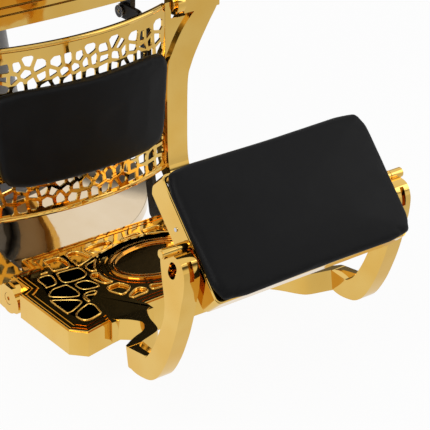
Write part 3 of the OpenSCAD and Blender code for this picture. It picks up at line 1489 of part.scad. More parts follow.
module lever_grip() {
    tip = lever_hub + lever_arm;
    color(black_paint) translate([lever_x + lever_t, tip[0], tip[1]]) rotate([0, 90, 0])
        rotate_extrude($fn = small_fn)
        polygon(scaled(grip_profile_shares, [grip_r, grip_l], [0, 0]));
}

module lever_bolt() {
    head_x = lever_x + lever_t + gap;
    color(bright_steel) {
        rod_x(lever_pin_r, seat_half_w + side_rib[0], head_x, lever_hub);
        rod_x(lever_pin_r * 1.7, head_x, head_x + lever_head_t, lever_hub);
    }
}

floor_pad();
base_disc();
pump_housing();
pump_gland();
pump_bolts();
pedal_bracket();
pump_pedal();
pedal_pad();
ram();
swivel_hub();
underseat_plate();
cross_tubes();
seat_side(-1);  // seat_side_left
seat_side(1);  // seat_side_right
seat_apron();
seat_rear_rail();
seat_board();
seat_cushion();
arm(-1);  // arm_left
arm(1);  // arm_right
arm_pad(-1);  // arm_pad_left
arm_pad(1);  // arm_pad_right
hinge_brackets();
leg_hinge_pins();
link_brackets();
link_bolts();
back_pivot_pins();
cylinder_bracket();
recline_cylinder();
recline_rod();
recline_lever();
lever_grip();
lever_bolt();
rail(-1);  // rail_left
rail(1);  // rail_right
calf_panel();
calf_pad();
toe_screws();
link(-1);  // link_left
link(1);  // link_right
drive_rod();
footplate();
medallion();
link_foot_pins();
yoke(-1);  // yoke_left
yoke(1);  // yoke_right
footrest_tray();
footrest_cushion();
trunnion_pins();
tray_screws();
back_cross_tube();
back_uprights();
back_shell();
back_cushion();
headrest_socket();
headrest_bar();
headrest_bracket();
headrest_cushion();
headrest_knob();
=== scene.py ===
"""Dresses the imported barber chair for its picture.

The plated castings get rounded edges, the pads are blown up by a short cloth simulation, and
the footplate gets its raised crackle relief. All lengths are in metres, in the frame of the
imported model: the chair faces -Y and +Z is up.
"""

import json
import logging
import math
from dataclasses import dataclass, field
from enum import Enum
from typing import Callable

import bpy
import numpy as np
from mathutils import Matrix, Vector

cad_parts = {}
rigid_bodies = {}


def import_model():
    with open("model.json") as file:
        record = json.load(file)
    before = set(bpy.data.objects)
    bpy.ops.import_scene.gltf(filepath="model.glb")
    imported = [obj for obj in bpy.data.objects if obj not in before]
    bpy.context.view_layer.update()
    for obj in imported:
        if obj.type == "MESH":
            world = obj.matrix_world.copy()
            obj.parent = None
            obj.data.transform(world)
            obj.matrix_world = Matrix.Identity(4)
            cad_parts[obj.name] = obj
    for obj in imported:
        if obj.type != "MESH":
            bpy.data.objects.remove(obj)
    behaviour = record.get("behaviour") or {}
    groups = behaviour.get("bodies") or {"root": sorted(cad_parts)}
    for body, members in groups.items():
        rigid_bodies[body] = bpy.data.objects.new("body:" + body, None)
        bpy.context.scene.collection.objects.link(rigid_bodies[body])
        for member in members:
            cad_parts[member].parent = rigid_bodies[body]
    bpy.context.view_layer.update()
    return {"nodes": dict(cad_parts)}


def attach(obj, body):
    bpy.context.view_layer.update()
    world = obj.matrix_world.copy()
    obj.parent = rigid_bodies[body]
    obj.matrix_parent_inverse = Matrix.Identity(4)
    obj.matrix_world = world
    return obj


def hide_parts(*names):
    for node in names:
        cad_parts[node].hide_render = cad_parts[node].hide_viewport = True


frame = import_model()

MM = 0.001
MOST = (0.3, 0.7)
MIDDLE = (0.35, 0.65)

Colour = tuple[float, float, float]
Point = tuple[float, float, float]

log = logging.getLogger("barber_chair")


class Slot(Enum):
    """The material slots of the record."""

    GOLD = "polished_gold"
    BASE_GOLD = "gold_base"
    MEDALLION = "medallion_gold"
    HIDE = "black_leather"
    BLACK_STEEL = "black_steel"
    GREY_CASTING = "grey_casting"
    STEEL = "bright_steel"
    PLYWOOD = "plywood"
    RUBBER = "black_rubber"
    PLASTIC = "black_plastic"


class Graph:
    """A small writer of shader graphs."""

    def __init__(self, name: str) -> None:
        """Starts an empty material.

        Args:
            name: The material's name.
        """
        self.material = bpy.data.materials.new(name)
        self.material.use_nodes = True
        self.tree = self.material.node_tree
        self.tree.nodes.clear()
        self.place = self.add("ShaderNodeTexCoord").outputs["Object"]

    def add(self, kind: str, inputs: dict | None = None, **settings: object) -> bpy.types.Node:
        """Adds a node.

        Args:
            kind: The node's type.
            inputs: Values or sockets for the node's inputs, by name or number.
            **settings: The node's own settings.

        Returns:
            The node.
        """
        node = self.tree.nodes.new(kind)
        for key, value in settings.items():
            setattr(node, key, value)
        for key, value in (inputs or {}).items():
            if isinstance(value, bpy.types.NodeSocket):
                self.tree.links.new(value, node.inputs[key])
            else:
                node.inputs[key].default_value = value
        return node

    def noise(self, size: float, detail: float = 3.0, stretch: Point = (1, 1, 1)) -> bpy.types.NodeSocket:
        """Adds a noise pattern.

        Args:
            size: The size of its patches.
            detail: Its octaves.
            stretch: How much finer it is along each axis.

        Returns:
            The socket of its value.
        """
        at = self.place
        if stretch != (1, 1, 1):
            at = self.add("ShaderNodeMapping", {"Vector": at, "Scale": stretch}).outputs[0]
        return self.add("ShaderNodeTexNoise", {"Vector": at, "Scale": 1 / size, "Detail": detail}).outputs[0]

    def cells(self, size: float, feature: str = "DISTANCE_TO_EDGE") -> bpy.types.NodeSocket:
        """Adds a pattern of cells and returns the socket of its distance.

        Args:
            size: The size of a cell.
            feature: What the distance is measured to.

        Returns:
            The socket of the distance.
        """
        node = self.add("ShaderNodeTexVoronoi", {"Vector": self.place, "Scale": 1 / size}, feature=feature)
        return node.outputs["Distance"]

    def between(self, value: bpy.types.NodeSocket, low: float, high: float,
                span: tuple[float, float] = (0.0, 1.0)) -> bpy.types.NodeSocket:
        """Maps a pattern to a range.

        Args:
            value: The pattern.
            low: What the lower end of the span becomes.
            high: What the upper end of the span becomes.
            span: The part of the pattern's range that is used.

        Returns:
            The socket of the mapped value.
        """
        inputs = {"Value": value, 1: span[0], 2: span[1], 3: low, 4: high}
        return self.add("ShaderNodeMapRange", inputs).outputs[0]

    def mix(self, share: bpy.types.NodeSocket, one: Colour, two: Colour) -> bpy.types.NodeSocket:
        """Mixes two colours by a pattern.

        Args:
            share: How much of the second colour shows.
            one: The first colour.
            two: The second colour.

        Returns:
            The socket of the mixed colour.
        """
        node = self.add("ShaderNodeMix", {0: share, 6: (*one, 1), 7: (*two, 1)}, data_type="RGBA")
        return node.outputs[2]

    def bump(self, height: bpy.types.NodeSocket, depth: float, strength: float = 1.0,
             under: bpy.types.NodeSocket | None = None) -> bpy.types.NodeSocket:
        """Adds relief.

        Args:
            height: The pattern of heights.
            depth: The depth of the relief.
            strength: How much of it shows.
            under: Coarser relief that this one lies on.

        Returns:
            The socket of the normal.
        """
        inputs = {"Height": height, "Distance": depth, "Strength": strength}
        if under is not None:
            inputs["Normal"] = under
        return self.add("ShaderNodeBump", inputs).outputs[0]

    def surface(self, **inputs: object) -> bpy.types.Material:
        """Ends the graph in one surface shader.

        Args:
            **inputs: The shader's inputs, with underscores for spaces.

        Returns:
            The material.
        """
        named = {key.replace("_", " "): value for key, value in inputs.items()}
        shader = self.add("ShaderNodeBsdfPrincipled", named)
        self.add("ShaderNodeOutputMaterial", {"Surface": shader.outputs[0]})
        return self.material


@dataclass(frozen=True)
class Plating:
    """Mirror plating over a polished casting: soft waves, faint tone changes, hairline scratches."""

    name: str = "gold_plating"
    colour: Colour = (0.775, 0.505, 0.135)
    deep: Colour = (0.745, 0.455, 0.10)
    gloss: tuple[float, float] = (0.03, 0.075)
    wave: float = 26 * MM
    wave_depth: float = 0.35 * MM
    scratch: float = 1.6 * MM

    def material(self) -> bpy.types.Material:
        """Returns the material."""
        graph = Graph(self.name)
        tone = graph.noise(70 * MM, 2.0)
        haze = graph.noise(9 * MM, 5.0)
        hairs = graph.noise(self.scratch, 2.0, (1, 9, 4))
        waves = graph.bump(graph.noise(self.wave, 1.0), self.wave_depth, 0.5)
        fine = graph.bump(hairs, 0.01 * MM, 0.12, waves)
        return graph.surface(
            Base_Color=graph.mix(graph.between(tone, 0, 1, MIDDLE), self.colour, self.deep),
            Metallic=1.0,
            Roughness=graph.between(haze, *self.gloss, MOST),
            Normal=fine,
        )


@dataclass(frozen=True)
class Hide:
    """Smooth black leatherette with a fine grain and a soft sheen."""

    name: str = "black_hide"
    colour: Colour = (0.003, 0.003, 0.0033)
    worn: Colour = (0.0045, 0.0045, 0.0049)
    gloss: tuple[float, float] = (0.42, 0.52)
    grain: float = 1.5 * MM
    grain_depth: float = 0.12 * MM

    def material(self) -> bpy.types.Material:
        """Returns the material."""
        graph = Graph(self.name)
        cells = graph.between(graph.cells(self.grain), 0, 1, (0, 0.16))
        patches = graph.noise(45 * MM, 4.0)
        soft = graph.bump(graph.noise(16 * MM, 2.0), 0.5 * MM, 0.25)
        return graph.surface(
            Base_Color=graph.mix(graph.between(patches, 0, 1, (0.35, 0.7)), self.colour, self.worn),
            Roughness=graph.between(patches, *self.gloss, MOST),
            Specular_IOR_Level=0.11,
            Normal=graph.bump(cells, self.grain_depth, 0.35, soft),
        )


@dataclass(frozen=True)
class Enamel:
    """Stoved paint on steel or iron, with a fine orange-peel skin and dusty patches."""

    name: str
    colour: Colour
    dusty: Colour
    gloss: tuple[float, float] = (0.28, 0.42)
    peel: float = 2.2 * MM
    peel_depth: float = 0.12 * MM

    def material(self) -> bpy.types.Material:
        """Returns the material."""
        graph = Graph(self.name)
        patches = graph.noise(38 * MM, 5.0)
        speck = graph.noise(0.8 * MM, 2.0)
        peel = graph.bump(graph.noise(self.peel, 2.0), self.peel_depth, 0.4)
        return graph.surface(
            Base_Color=graph.mix(graph.between(patches, 0, 1, (0.4, 0.75)), self.colour, self.dusty),
            Roughness=graph.between(patches, *self.gloss, MOST),
            Normal=graph.bump(speck, 0.02 * MM, 0.25, peel),
        )


@dataclass(frozen=True)
class Steel:
    """Ground and plated steel with fine turning marks."""

    name: str = "plated_steel"
    colour: Colour = (0.62, 0.63, 0.65)
    dull: Colour = (0.50, 0.51, 0.53)
    gloss: tuple[float, float] = (0.10, 0.22)

    def material(self) -> bpy.types.Material:
        """Returns the material."""
        graph = Graph(self.name)
        marks = graph.noise(3.0 * MM, 3.0, (1, 1, 14))
        haze = graph.noise(14 * MM, 4.0)
        return graph.surface(
            Base_Color=graph.mix(graph.between(haze, 0, 1, MIDDLE), self.colour, self.dull),
            Metallic=1.0,
            Roughness=graph.between(haze, *self.gloss, MOST),
            Normal=graph.bump(marks, 0.02 * MM, 0.25),
        )


@dataclass(frozen=True)
class Moulding:
    """Moulded rubber or plastic with a pebbled skin."""

    name: str
    colour: Colour
    scuffed: Colour
    gloss: tuple[float, float] = (0.55, 0.72)
    pebble: float = 1.2 * MM
    pebble_depth: float = 0.15 * MM

    def material(self) -> bpy.types.Material:
        """Returns the material."""
        graph = Graph(self.name)
        patches = graph.noise(24 * MM, 5.0)
        pebbles = graph.between(graph.cells(self.pebble, "F1"), 1, 0, (0, 0.7))
        return graph.surface(
            Base_Color=graph.mix(graph.between(patches, 0, 1, (0.45, 0.75)), self.colour, self.scuffed),
            Roughness=graph.between(patches, *self.gloss, MOST),
            Normal=graph.bump(pebbles, self.pebble_depth, 0.4),
        )


@dataclass(frozen=True)
class Veneer:
    """Birch plywood: pale faces with a drifting grain, and glued layers along its edges."""

    name: str = "birch_plywood"
    pale: Colour = (0.56, 0.40, 0.22)
    dark: Colour = (0.36, 0.22, 0.10)
    layer: float = 1.6 * MM

    def material(self) -> bpy.types.Material:
        """Returns the material."""
        graph = Graph(self.name)
        grain = graph.noise(5 * MM, 6.0, (6, 1, 1))
        height = graph.add("ShaderNodeSeparateXYZ", {0: graph.place}).outputs["Z"]
        layers = graph.add("ShaderNodeMath", {0: height, 1: 2 * self.layer}, operation="PINGPONG").outputs[0]
        stripe = graph.between(layers, 0, 0.6, (0.4 * self.layer, 1.6 * self.layer))
        streaks = graph.between(grain, 0, 0.5, (0.35, 0.7))
        share = graph.add("ShaderNodeMath", {0: stripe, 1: streaks}).outputs[0]
        return graph.surface(
            Base_Color=graph.mix(share, self.pale, self.dark),
            Roughness=graph.between(grain, 0.5, 0.72, MOST),
            Normal=graph.bump(grain, 0.05 * MM, 0.3),
        )


@dataclass(frozen=True)
class Wardrobe:
    """All the finishes of the chair, one for each slot of the record."""

    gold: Plating = Plating()
    base_gold: Plating = Plating("gold_plating_base", (0.76, 0.62, 0.44), (0.73, 0.58, 0.39), wave=60 * MM,
                                 wave_depth=0.5 * MM)
    medallion: Plating = Plating("gold_plating_medallion", (0.74, 0.47, 0.15), (0.68, 0.40, 0.11),
                                 wave=14 * MM)
    hide: Hide = Hide()
    black_steel: Enamel = Enamel("black_enamel", (0.012, 0.012, 0.013), (0.03, 0.03, 0.032))
    grey_casting: Enamel = Enamel("grey_enamel", (0.21, 0.215, 0.23), (0.26, 0.26, 0.27))
    steel: Steel = Steel()
    plywood: Veneer = Veneer()
    rubber: Moulding = Moulding("black_rubber_skin", (0.012, 0.012, 0.012), (0.03, 0.03, 0.029))
    plastic: Moulding = Moulding("black_plastic_skin", (0.010, 0.010, 0.011), (0.02, 0.02, 0.021),
                                 gloss=(0.32, 0.5))

    def build(self) -> dict[Slot, bpy.types.Material]:
        """Returns the material of each slot."""
        finishes = {
            Slot.GOLD: self.gold, Slot.BASE_GOLD: self.base_gold, Slot.MEDALLION: self.medallion,
            Slot.HIDE: self.hide, Slot.BLACK_STEEL: self.black_steel, Slot.GREY_CASTING: self.grey_casting,
            Slot.STEEL: self.steel, Slot.PLYWOOD: self.plywood, Slot.RUBBER: self.rubber,
            Slot.PLASTIC: self.plastic,
        }
        return {slot: finish.material() for slot, finish in finishes.items()}


class Bench:
    """The modelling steps that every sub-assembly uses."""

    @staticmethod
    def pick(*pieces: bpy.types.Object) -> None:
        """Selects these objects alone and makes the first one active."""
        bpy.ops.object.select_all(action="DESELECT")
        for piece in pieces:
            piece.select_set(True)
        bpy.context.view_layer.objects.active = pieces[0]

    @staticmethod
    def copy(node: str, name: str) -> bpy.types.Object:
        """Copies a CAD node, with its loose triangles joined.

        Args:
            node: The node's name.
            name: The name of the copy.

        Returns:
            The copy, at the origin and free of its body.
        """
        source = frame["nodes"][node]
        piece = bpy.data.objects.new(name, source.data.copy())
        bpy.context.scene.collection.objects.link(piece)
        Bench.pick(piece)
        bpy.ops.mesh.customdata_custom_splitnormals_clear()
        Bench.edit(piece, Bench.select_all, lambda: bpy.ops.mesh.remove_doubles(threshold=0.01 * MM))
        return piece

    @staticmethod
    def edit(piece: bpy.types.Object, *steps: Callable[[], object], mode: str = "VERT") -> None:
        """Runs steps in edit mode on a piece.

        Args:
            piece: The piece.
            *steps: What to run there.
            mode: The kind of element that is selected.
        """
        Bench.pick(piece)
        bpy.ops.object.mode_set(mode="EDIT")
        bpy.ops.mesh.select_mode(type=mode)
        for step in steps:
            step()
        bpy.ops.object.mode_set(mode="OBJECT")

    @staticmethod
    def select_all() -> None:
        """Selects the whole mesh in edit mode."""
        bpy.ops.mesh.select_all(action="SELECT")

    @staticmethod
    def select_sharp(piece: bpy.types.Object, angle: float,
                     test: Callable[[np.ndarray, np.ndarray], np.ndarray]) -> int:
        """Selects the sharp edges that pass a test, ready for edit mode.

        Args:
            piece: The piece.
            angle: The least turn between an edge's faces, in degrees.
            test: Takes the edges' two ends, one row each, and says which edges pass.

        Returns:
            How many edges are selected.
        """
        bpy.context.tool_settings.mesh_select_mode = (False, True, False)
        Bench.edit(piece, lambda: bpy.ops.mesh.select_all(action="DESELECT"),
                   lambda: bpy.ops.mesh.edges_select_sharp(sharpness=math.radians(angle)), mode="EDGE")
        mesh = piece.data
        sharp = np.empty(len(mesh.edges), dtype=bool)
        ends = np.empty(len(mesh.edges) * 2, dtype=np.int32)
        mesh.edges.foreach_get("select", sharp)
        mesh.edges.foreach_get("vertices", ends)
        places = Bench.coordinates(piece)[ends.reshape(-1, 2)]
        chosen = sharp & test(places[:, 0], places[:, 1])
        mesh.vertices.foreach_set("select", np.zeros(len(mesh.vertices), dtype=bool))
        mesh.polygons.foreach_set("select", np.zeros(len(mesh.polygons), dtype=bool))
        mesh.edges.foreach_set("select", chosen)
        return int(chosen.sum())

    @staticmethod
    def tube(piece: bpy.types.Object, radius: float) -> None:
        """Turns a piece of bare edges into a round tube along them.

        Args:
            piece: The piece.
            radius: The tube's radius.
        """
        Bench.pick(piece)
        bpy.ops.object.convert(target="CURVE")
        piece.data.bevel_depth = radius
        piece.data.bevel_resolution = 2
        bpy.ops.object.convert(target="MESH")
        bpy.ops.object.shade_smooth()

    @staticmethod
    def modify(piece: bpy.types.Object, kind: str, **settings: object) -> None:
        """Adds a modifier and applies it.

        Args:
            piece: The piece.
            kind: The modifier's type.
            **settings: Its settings.
        """
        Bench.pick(piece)
        bpy.ops.object.modifier_add(type=kind)
        modifier = piece.modifiers[-1]
        for key, value in settings.items():
            setattr(modifier, key, value)
        bpy.ops.object.modifier_apply(modifier=modifier.name)

    @staticmethod
    def smooth(piece: bpy.types.Object, angle: float) -> None:
        """Shades a piece smooth, with sharp edges where it turns by more than an angle in degrees."""
        Bench.pick(piece)
        bpy.ops.object.shade_smooth_by_angle(angle=math.radians(angle))

    @staticmethod
    def coordinates(piece: bpy.types.Object) -> np.ndarray:
        """Returns the places of a piece's vertices, one row each."""
        places = np.empty(len(piece.data.vertices) * 3)
        piece.data.vertices.foreach_get("co", places)
        return places.reshape(-1, 3)

    @staticmethod
    def move_to(piece: bpy.types.Object, places: np.ndarray) -> None:
        """Puts a piece's vertices at these places."""
        piece.data.vertices.foreach_set("co", places.ravel())
        piece.data.update()


@dataclass
class Dresser:
    """Gives pieces their finish, their slot and the body that carries them."""

    materials: dict[Slot, bpy.types.Material]

    def dress(self, piece: bpy.types.Object, slot: Slot, body: str) -> None:
        """Finishes a new piece.

        Args:
            piece: The piece.
            slot: Its slot of the record.
            body: The body that it rides on.
        """
        piece.data.materials.clear()
        piece.data.materials.append(self.materials[slot])
        for face in piece.data.polygons:
            face.material_index = 0
        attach(piece, body)

    def dress_nodes(self) -> None:
        """Gives every CAD node the finish of its slot."""
        by_name = {slot.value: material for slot, material in self.materials.items()}
        for node in frame["nodes"].values():
            for place in node.material_slots:
                place.material = by_name[place.material.name.split(".")[0]]

    @staticmethod
    def body_of(node: str) -> str:
        """Returns the body that a CAD node rides on."""
        return frame["nodes"][node].parent.name.removeprefix("body:")


@dataclass
class Casting:
    """A rigid node with the rounded edges that casting and polishing leave on it.

    Faces that turn by less than flat are joined, edges that turn by more than angle are rounded, and
    those that still turn by more than crease stay sharp in the shading, all in degrees.
    """

    node: str
    edge: float
    slot: Slot = Slot.GOLD
    angle: float = 28
    flat: float = 0.4
    crease: float = 40
    segments: int = 2

    def build(self, dresser: Dresser) -> bpy.types.Object:
        """Makes the rounded piece in place of the node.

        Args:
            dresser: Gives the piece its finish.

        Returns:
            The piece.
        """
        piece = Bench.copy(self.node, f"{self.node}_casting")
        flat = math.radians(self.flat)
        Bench.edit(piece, Bench.select_all, lambda: bpy.ops.mesh.dissolve_limited(angle_limit=flat))
        self.shape(piece)
        Bench.modify(piece, "BEVEL", width=self.edge, segments=self.segments, limit_method="ANGLE",
                     angle_limit=math.radians(self.angle), use_clamp_overlap=True, miter_outer="MITER_ARC")
        Bench.smooth(piece, self.crease)
        Bench.modify(piece, "WEIGHTED_NORMAL", keep_sharp=True, weight=80)
        dresser.dress(piece, self.slot, dresser.body_of(self.node))
        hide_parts(self.node)
        return piece

    def shape(self, piece: bpy.types.Object) -> None:
        """Leaves the form as it is before its edges are rounded."""


@dataclass
class Pierced(Casting):
    """A casting with a pattern of cells, whose corners are rounded along the cells' depth."""

    depth: float = 4 * MM
    axis: Point = (0, 0, 1)
    across: bool = False
    corner_turn: float = 18
    corner_percent: float = 32
    aslant: float = 0.06
    straight: float = 0.97
    play_share: float = 0.12

    def shape(self, piece: bpy.types.Object) -> None:
        """Rounds the corners of the cells."""
        if Bench.select_sharp(piece, self.corner_turn, self.is_corner):
            Bench.edit(piece, lambda: bpy.ops.mesh.bevel(
                offset_type="PERCENT", offset_pct=self.corner_percent, segments=2, profile=0.5,
                affect="EDGES", clamp_overlap=True), mode="EDGE")

    def is_corner(self, one: np.ndarray, two: np.ndarray) -> np.ndarray:
        """Says which edges are as long as the cells are deep, and lie along the axis or across it."""
        span = two - one
        length = np.linalg.norm(span, axis=1)
        along = np.abs(span @ np.array(self.axis)) / np.maximum(length, 1e-9)
        right_way = along < self.aslant if self.across else along > self.straight
        return right_way & (np.abs(length - self.depth) < self.play_share * self.depth)


@dataclass
class Pad:
    """A cushion blown up from its CAD form, flat where it lies on its board."""

    node: str
    cap: float
    shrink: float
    voxel: float = 5 * MM
    pressure: float = 4.0
    fill: float = 0.75
    frames: int = 20
    smoothing: int = 4
    quality: int = 5
    board: Point = (0, 0, -1)
    free_below: float = 0.5
    welt_share: float = 0.0
    welt: float = 2.2 * MM

    def build(self, dresser: Dresser) -> list[bpy.types.Object]:
        """Makes the cushion in place of the node, with its welt where it has one.

        Args:
            dresser: Gives the cushion its finish.

        Returns:
            The cushion and its welt.
        """
        piece = Bench.copy(self.node, f"{self.node}_hide")
        Bench.modify(piece, "REMESH", mode="VOXEL", voxel_size=self.voxel, adaptivity=0.0)
        Bench.edit(piece, Bench.select_all,
                   lambda: bpy.ops.mesh.vertices_smooth(factor=0.5, repeat=self.smoothing))
        self.inflate(piece)
        Bench.modify(piece, "SUBSURF", levels=1, render_levels=1)
        Bench.pick(piece)
        bpy.ops.object.shade_smooth()
        body = dresser.body_of(self.node)
        pieces = [piece]
        if self.welt_share:
            pieces.append(self.make_welt(piece))
        for part in pieces:
            dresser.dress(part, Slot.HIDE, body)
        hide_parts(self.node)
        return pieces

    def inflate(self, piece: bpy.types.Object) -> None:
        """Blows the cushion up with a cloth simulation, and keeps each point near its start.

        Args:
            piece: The cushion.
        """
        start = Bench.coordinates(piece)
        facing = np.empty(len(piece.data.vertices) * 3)
        piece.data.vertex_normals.foreach_get("vector", facing)
        lying = facing.reshape(-1, 3) @ np.array(self.board)
        Bench.edit(piece, Bench.select_all, lambda: bpy.ops.transform.shrink_fatten(value=-self.shrink))
        Bench.pick(piece)
        bpy.ops.object.modifier_add(type="CLOTH")
        cloth = piece.modifiers[-1]
        cloth.settings.use_pressure = True
        cloth.settings.uniform_pressure_force = self.pressure
        cloth.settings.effector_weights.gravity = 0
        cloth.settings.quality = self.quality
        scene = bpy.context.scene
        for step in range(1, self.frames + 1):
            scene.frame_set(step)
        bpy.ops.object.modifier_apply(modifier=cloth.name)
        scene.frame_set(1)
        shift = Bench.coordinates(piece) - start
        length = np.linalg.norm(shift, axis=1, keepdims=True)
        free = np.clip((self.free_below - lying[:, None]) / self.free_below, 0, 1)
        Bench.move_to(piece, start + shift * free * np.minimum(1, self.cap / np.maximum(length, 1e-9)))

    def make_welt(self, piece: bpy.types.Object) -> bpy.types.Object:
        """Makes a welt: a cord under the hide along the seam, where a plane cuts the cushion.

        Args:
            piece: The finished cushion.

        Returns:
            The welt.
        """
        Bench.pick(piece)
        bpy.ops.object.duplicate()
        welt = bpy.context.object
        welt.name = f"{self.node}_welt"
        depth = Bench.coordinates(welt) @ np.array(self.board)
        at = Vector(self.board) * float(depth.max() + (depth.min() - depth.max()) * self.welt_share)
        Bench.edit(welt, Bench.select_all, lambda: bpy.ops.mesh.bisect(
            plane_co=at, plane_no=self.board, clear_inner=True, clear_outer=True))
        Bench.tube(welt, self.welt)
        return welt


@dataclass(frozen=True)
class Lamp:
    """A square soft lamp that points at a place."""

    name: str
    place: Point
    aim: Point
    size: float
    power: float

    def hang(self) -> None:
        """Puts the lamp into the scene."""
        data = bpy.data.lights.new(self.name, "AREA")
        data.size, data.energy = self.size, self.power
        lamp = bpy.data.objects.new(self.name, data)
        bpy.context.scene.collection.objects.link(lamp)
        lamp.location = self.place
        lamp.rotation_euler = (Vector(self.aim) - Vector(self.place)).to_track_quat("-Z", "Y").to_euler()


@dataclass
class Studio:
    """A plain pale floor, soft lamps and the camera at the photograph's angle."""

    eye: Point = (-1.4315, -2.5574, 1.4617)
    forward: Point = (0.5289, 0.7154, -0.4566)
    right: Point = (0.8041, -0.5945, 0.0)
    lens: float = 150.5
    shift: tuple[float, float] = (0.074, 0.012)
    clip: tuple[float, float] = (0.05, 60)
    floor_size: float = 16.0
    pale: Colour = (0.86, 0.86, 0.86)
    white_share: float = 0.94
    # painted reflection: how the floor's glow, seen only in mirrors, dims across the floor towards the front
    # right
    painted_reflection_fall: tuple[float, float] = (0.6, 0.8)
    painted_reflection_span: tuple[float, float] = (-1.3, -0.1)
    mirrored: tuple[float, float] = (0.74, 1.0)
    ambient: float = 0.45
    sky: tuple[tuple[float, float], ...] = (
        (0.0, 0.95), (0.16, 0.9), (0.26, 0.16), (0.36, 0.06), (0.42, 0.4), (0.47, 0.96), (0.60, 1.0),
        (1.0, 1.0))
    lights: tuple[Lamp, ...] = (
        Lamp("key", (-2.6, -2.2, 3.0), (0, -0.4, 0.4), 2.0, 60),
        Lamp("fill", (2.8, -2.4, 2.0), (0, -0.4, 0.4), 2.2, 26),
        Lamp("back", (0.6, 3.0, 2.8), (0, 0, 0.5), 1.8, 30))

    def build(self) -> None:
        """Makes the camera, the floor, the world and the lamps."""
        self.camera()
        self.floor()
        self.world()
        for lamp in self.lights:
            lamp.hang()
        bpy.context.scene.view_settings.view_transform = "Standard"

    def camera(self) -> None:
        """Places the camera."""
        data = bpy.data.cameras.new("camera")
        data.lens = self.lens
        data.shift_x, data.shift_y = self.shift
        data.clip_start, data.clip_end = self.clip
        camera = bpy.data.objects.new("camera", data)
        bpy.context.scene.collection.objects.link(camera)
        right, forward = Vector(self.right).normalized(), Vector(self.forward).normalized()
        up = right.cross(forward)
        turn = Matrix((right, up, -forward)).transposed().to_4x4()
        camera.matrix_world = Matrix.Translation(self.eye) @ turn
        bpy.context.scene.camera = camera

    def floor(self) -> None:
        """Lays the floor: white to the eye, with a trace of the chair's shadow; in mirrors it glows with a
        painted reflection that dims towards the front right.
        """
        bpy.ops.object.select_all(action="DESELECT")
        bpy.ops.mesh.primitive_plane_add(size=self.floor_size)
        floor = bpy.context.object
        floor.name = "studio_floor"
        graph = Graph("studio_floor")
        path = graph.add("ShaderNodeLightPath").outputs
        split = graph.add("ShaderNodeSeparateXYZ", {0: graph.place}).outputs
        # painted reflection: the floor glows less in mirrors towards the front right, standing in for floor
        # that gets less light
        across = graph.add("ShaderNodeMath", {0: split["X"], 1: -self.painted_reflection_fall[0]},
                           operation="MULTIPLY").outputs[0]
        run = graph.add("ShaderNodeMath", {0: split["Y"], 1: self.painted_reflection_fall[1], 2: across},
                        operation="MULTIPLY_ADD").outputs[0]
        mirrored = graph.add("ShaderNodeEmission", {
            "Color": (1, 1, 1, 1), "Strength": graph.between(run, *self.mirrored, self.painted_reflection_span)})
        shaded = graph.add("ShaderNodeBsdfDiffuse", {"Color": (*self.pale, 1)})
        seen = graph.add("ShaderNodeEmission", {"Color": (1, 1, 1, 1), "Strength": 1.0})
        share = graph.between(path["Is Camera Ray"], 0.0, self.white_share)
        below = graph.add("ShaderNodeMixShader", {
            0: path["Is Glossy Ray"], 1: shaded.outputs[0], 2: mirrored.outputs[0]})
        mixed = graph.add("ShaderNodeMixShader", {0: share, 1: below.outputs[0], 2: seen.outputs[0]})
        graph.add("ShaderNodeOutputMaterial", {"Surface": mixed.outputs[0]})
        floor.data.materials.append(graph.material)

    def world(self) -> None:
        """Lights the room evenly; mirrors see a pale horizon, a dark band and a white soft box above."""
        world = bpy.data.worlds.new("studio")
        world.use_nodes = True
        bpy.context.scene.world = world
        tree = world.node_tree
        tree.nodes.clear()
        new, link = tree.nodes.new, tree.links.new
        output = new("ShaderNodeOutputWorld")
        path, direction = new("ShaderNodeLightPath"), new("ShaderNodeTexCoord")
        split, ramp = new("ShaderNodeSeparateXYZ"), new("ShaderNodeValToRGB")
        link(direction.outputs["Generated"], split.inputs[0])
        link(split.outputs["Z"], ramp.inputs[0])
        stops = ramp.color_ramp.elements
        for stop, (_, level) in zip((stops[0], stops[1]), (self.sky[0], self.sky[-1])):
            stop.color = (level, level, level, 1)
        for height, level in self.sky[1:-1]:
            stops.new(height).color = (level, level, level, 1)
        mirrored, light, eye = (new("ShaderNodeBackground") for _ in range(3))
        link(ramp.outputs[0], mirrored.inputs[0])
        light.inputs[0].default_value = eye.inputs[0].default_value = (1, 1, 1, 1)
        light.inputs[1].default_value = self.ambient
        glossy, camera = new("ShaderNodeMixShader"), new("ShaderNodeMixShader")
        link(path.outputs["Is Glossy Ray"], glossy.inputs[0])
        link(light.outputs[0], glossy.inputs[1])
        link(mirrored.outputs[0], glossy.inputs[2])
        link(path.outputs["Is Camera Ray"], camera.inputs[0])
        link(glossy.outputs[0], camera.inputs[1])
        link(eye.outputs[0], camera.inputs[2])
        link(camera.outputs[0], output.inputs[0])


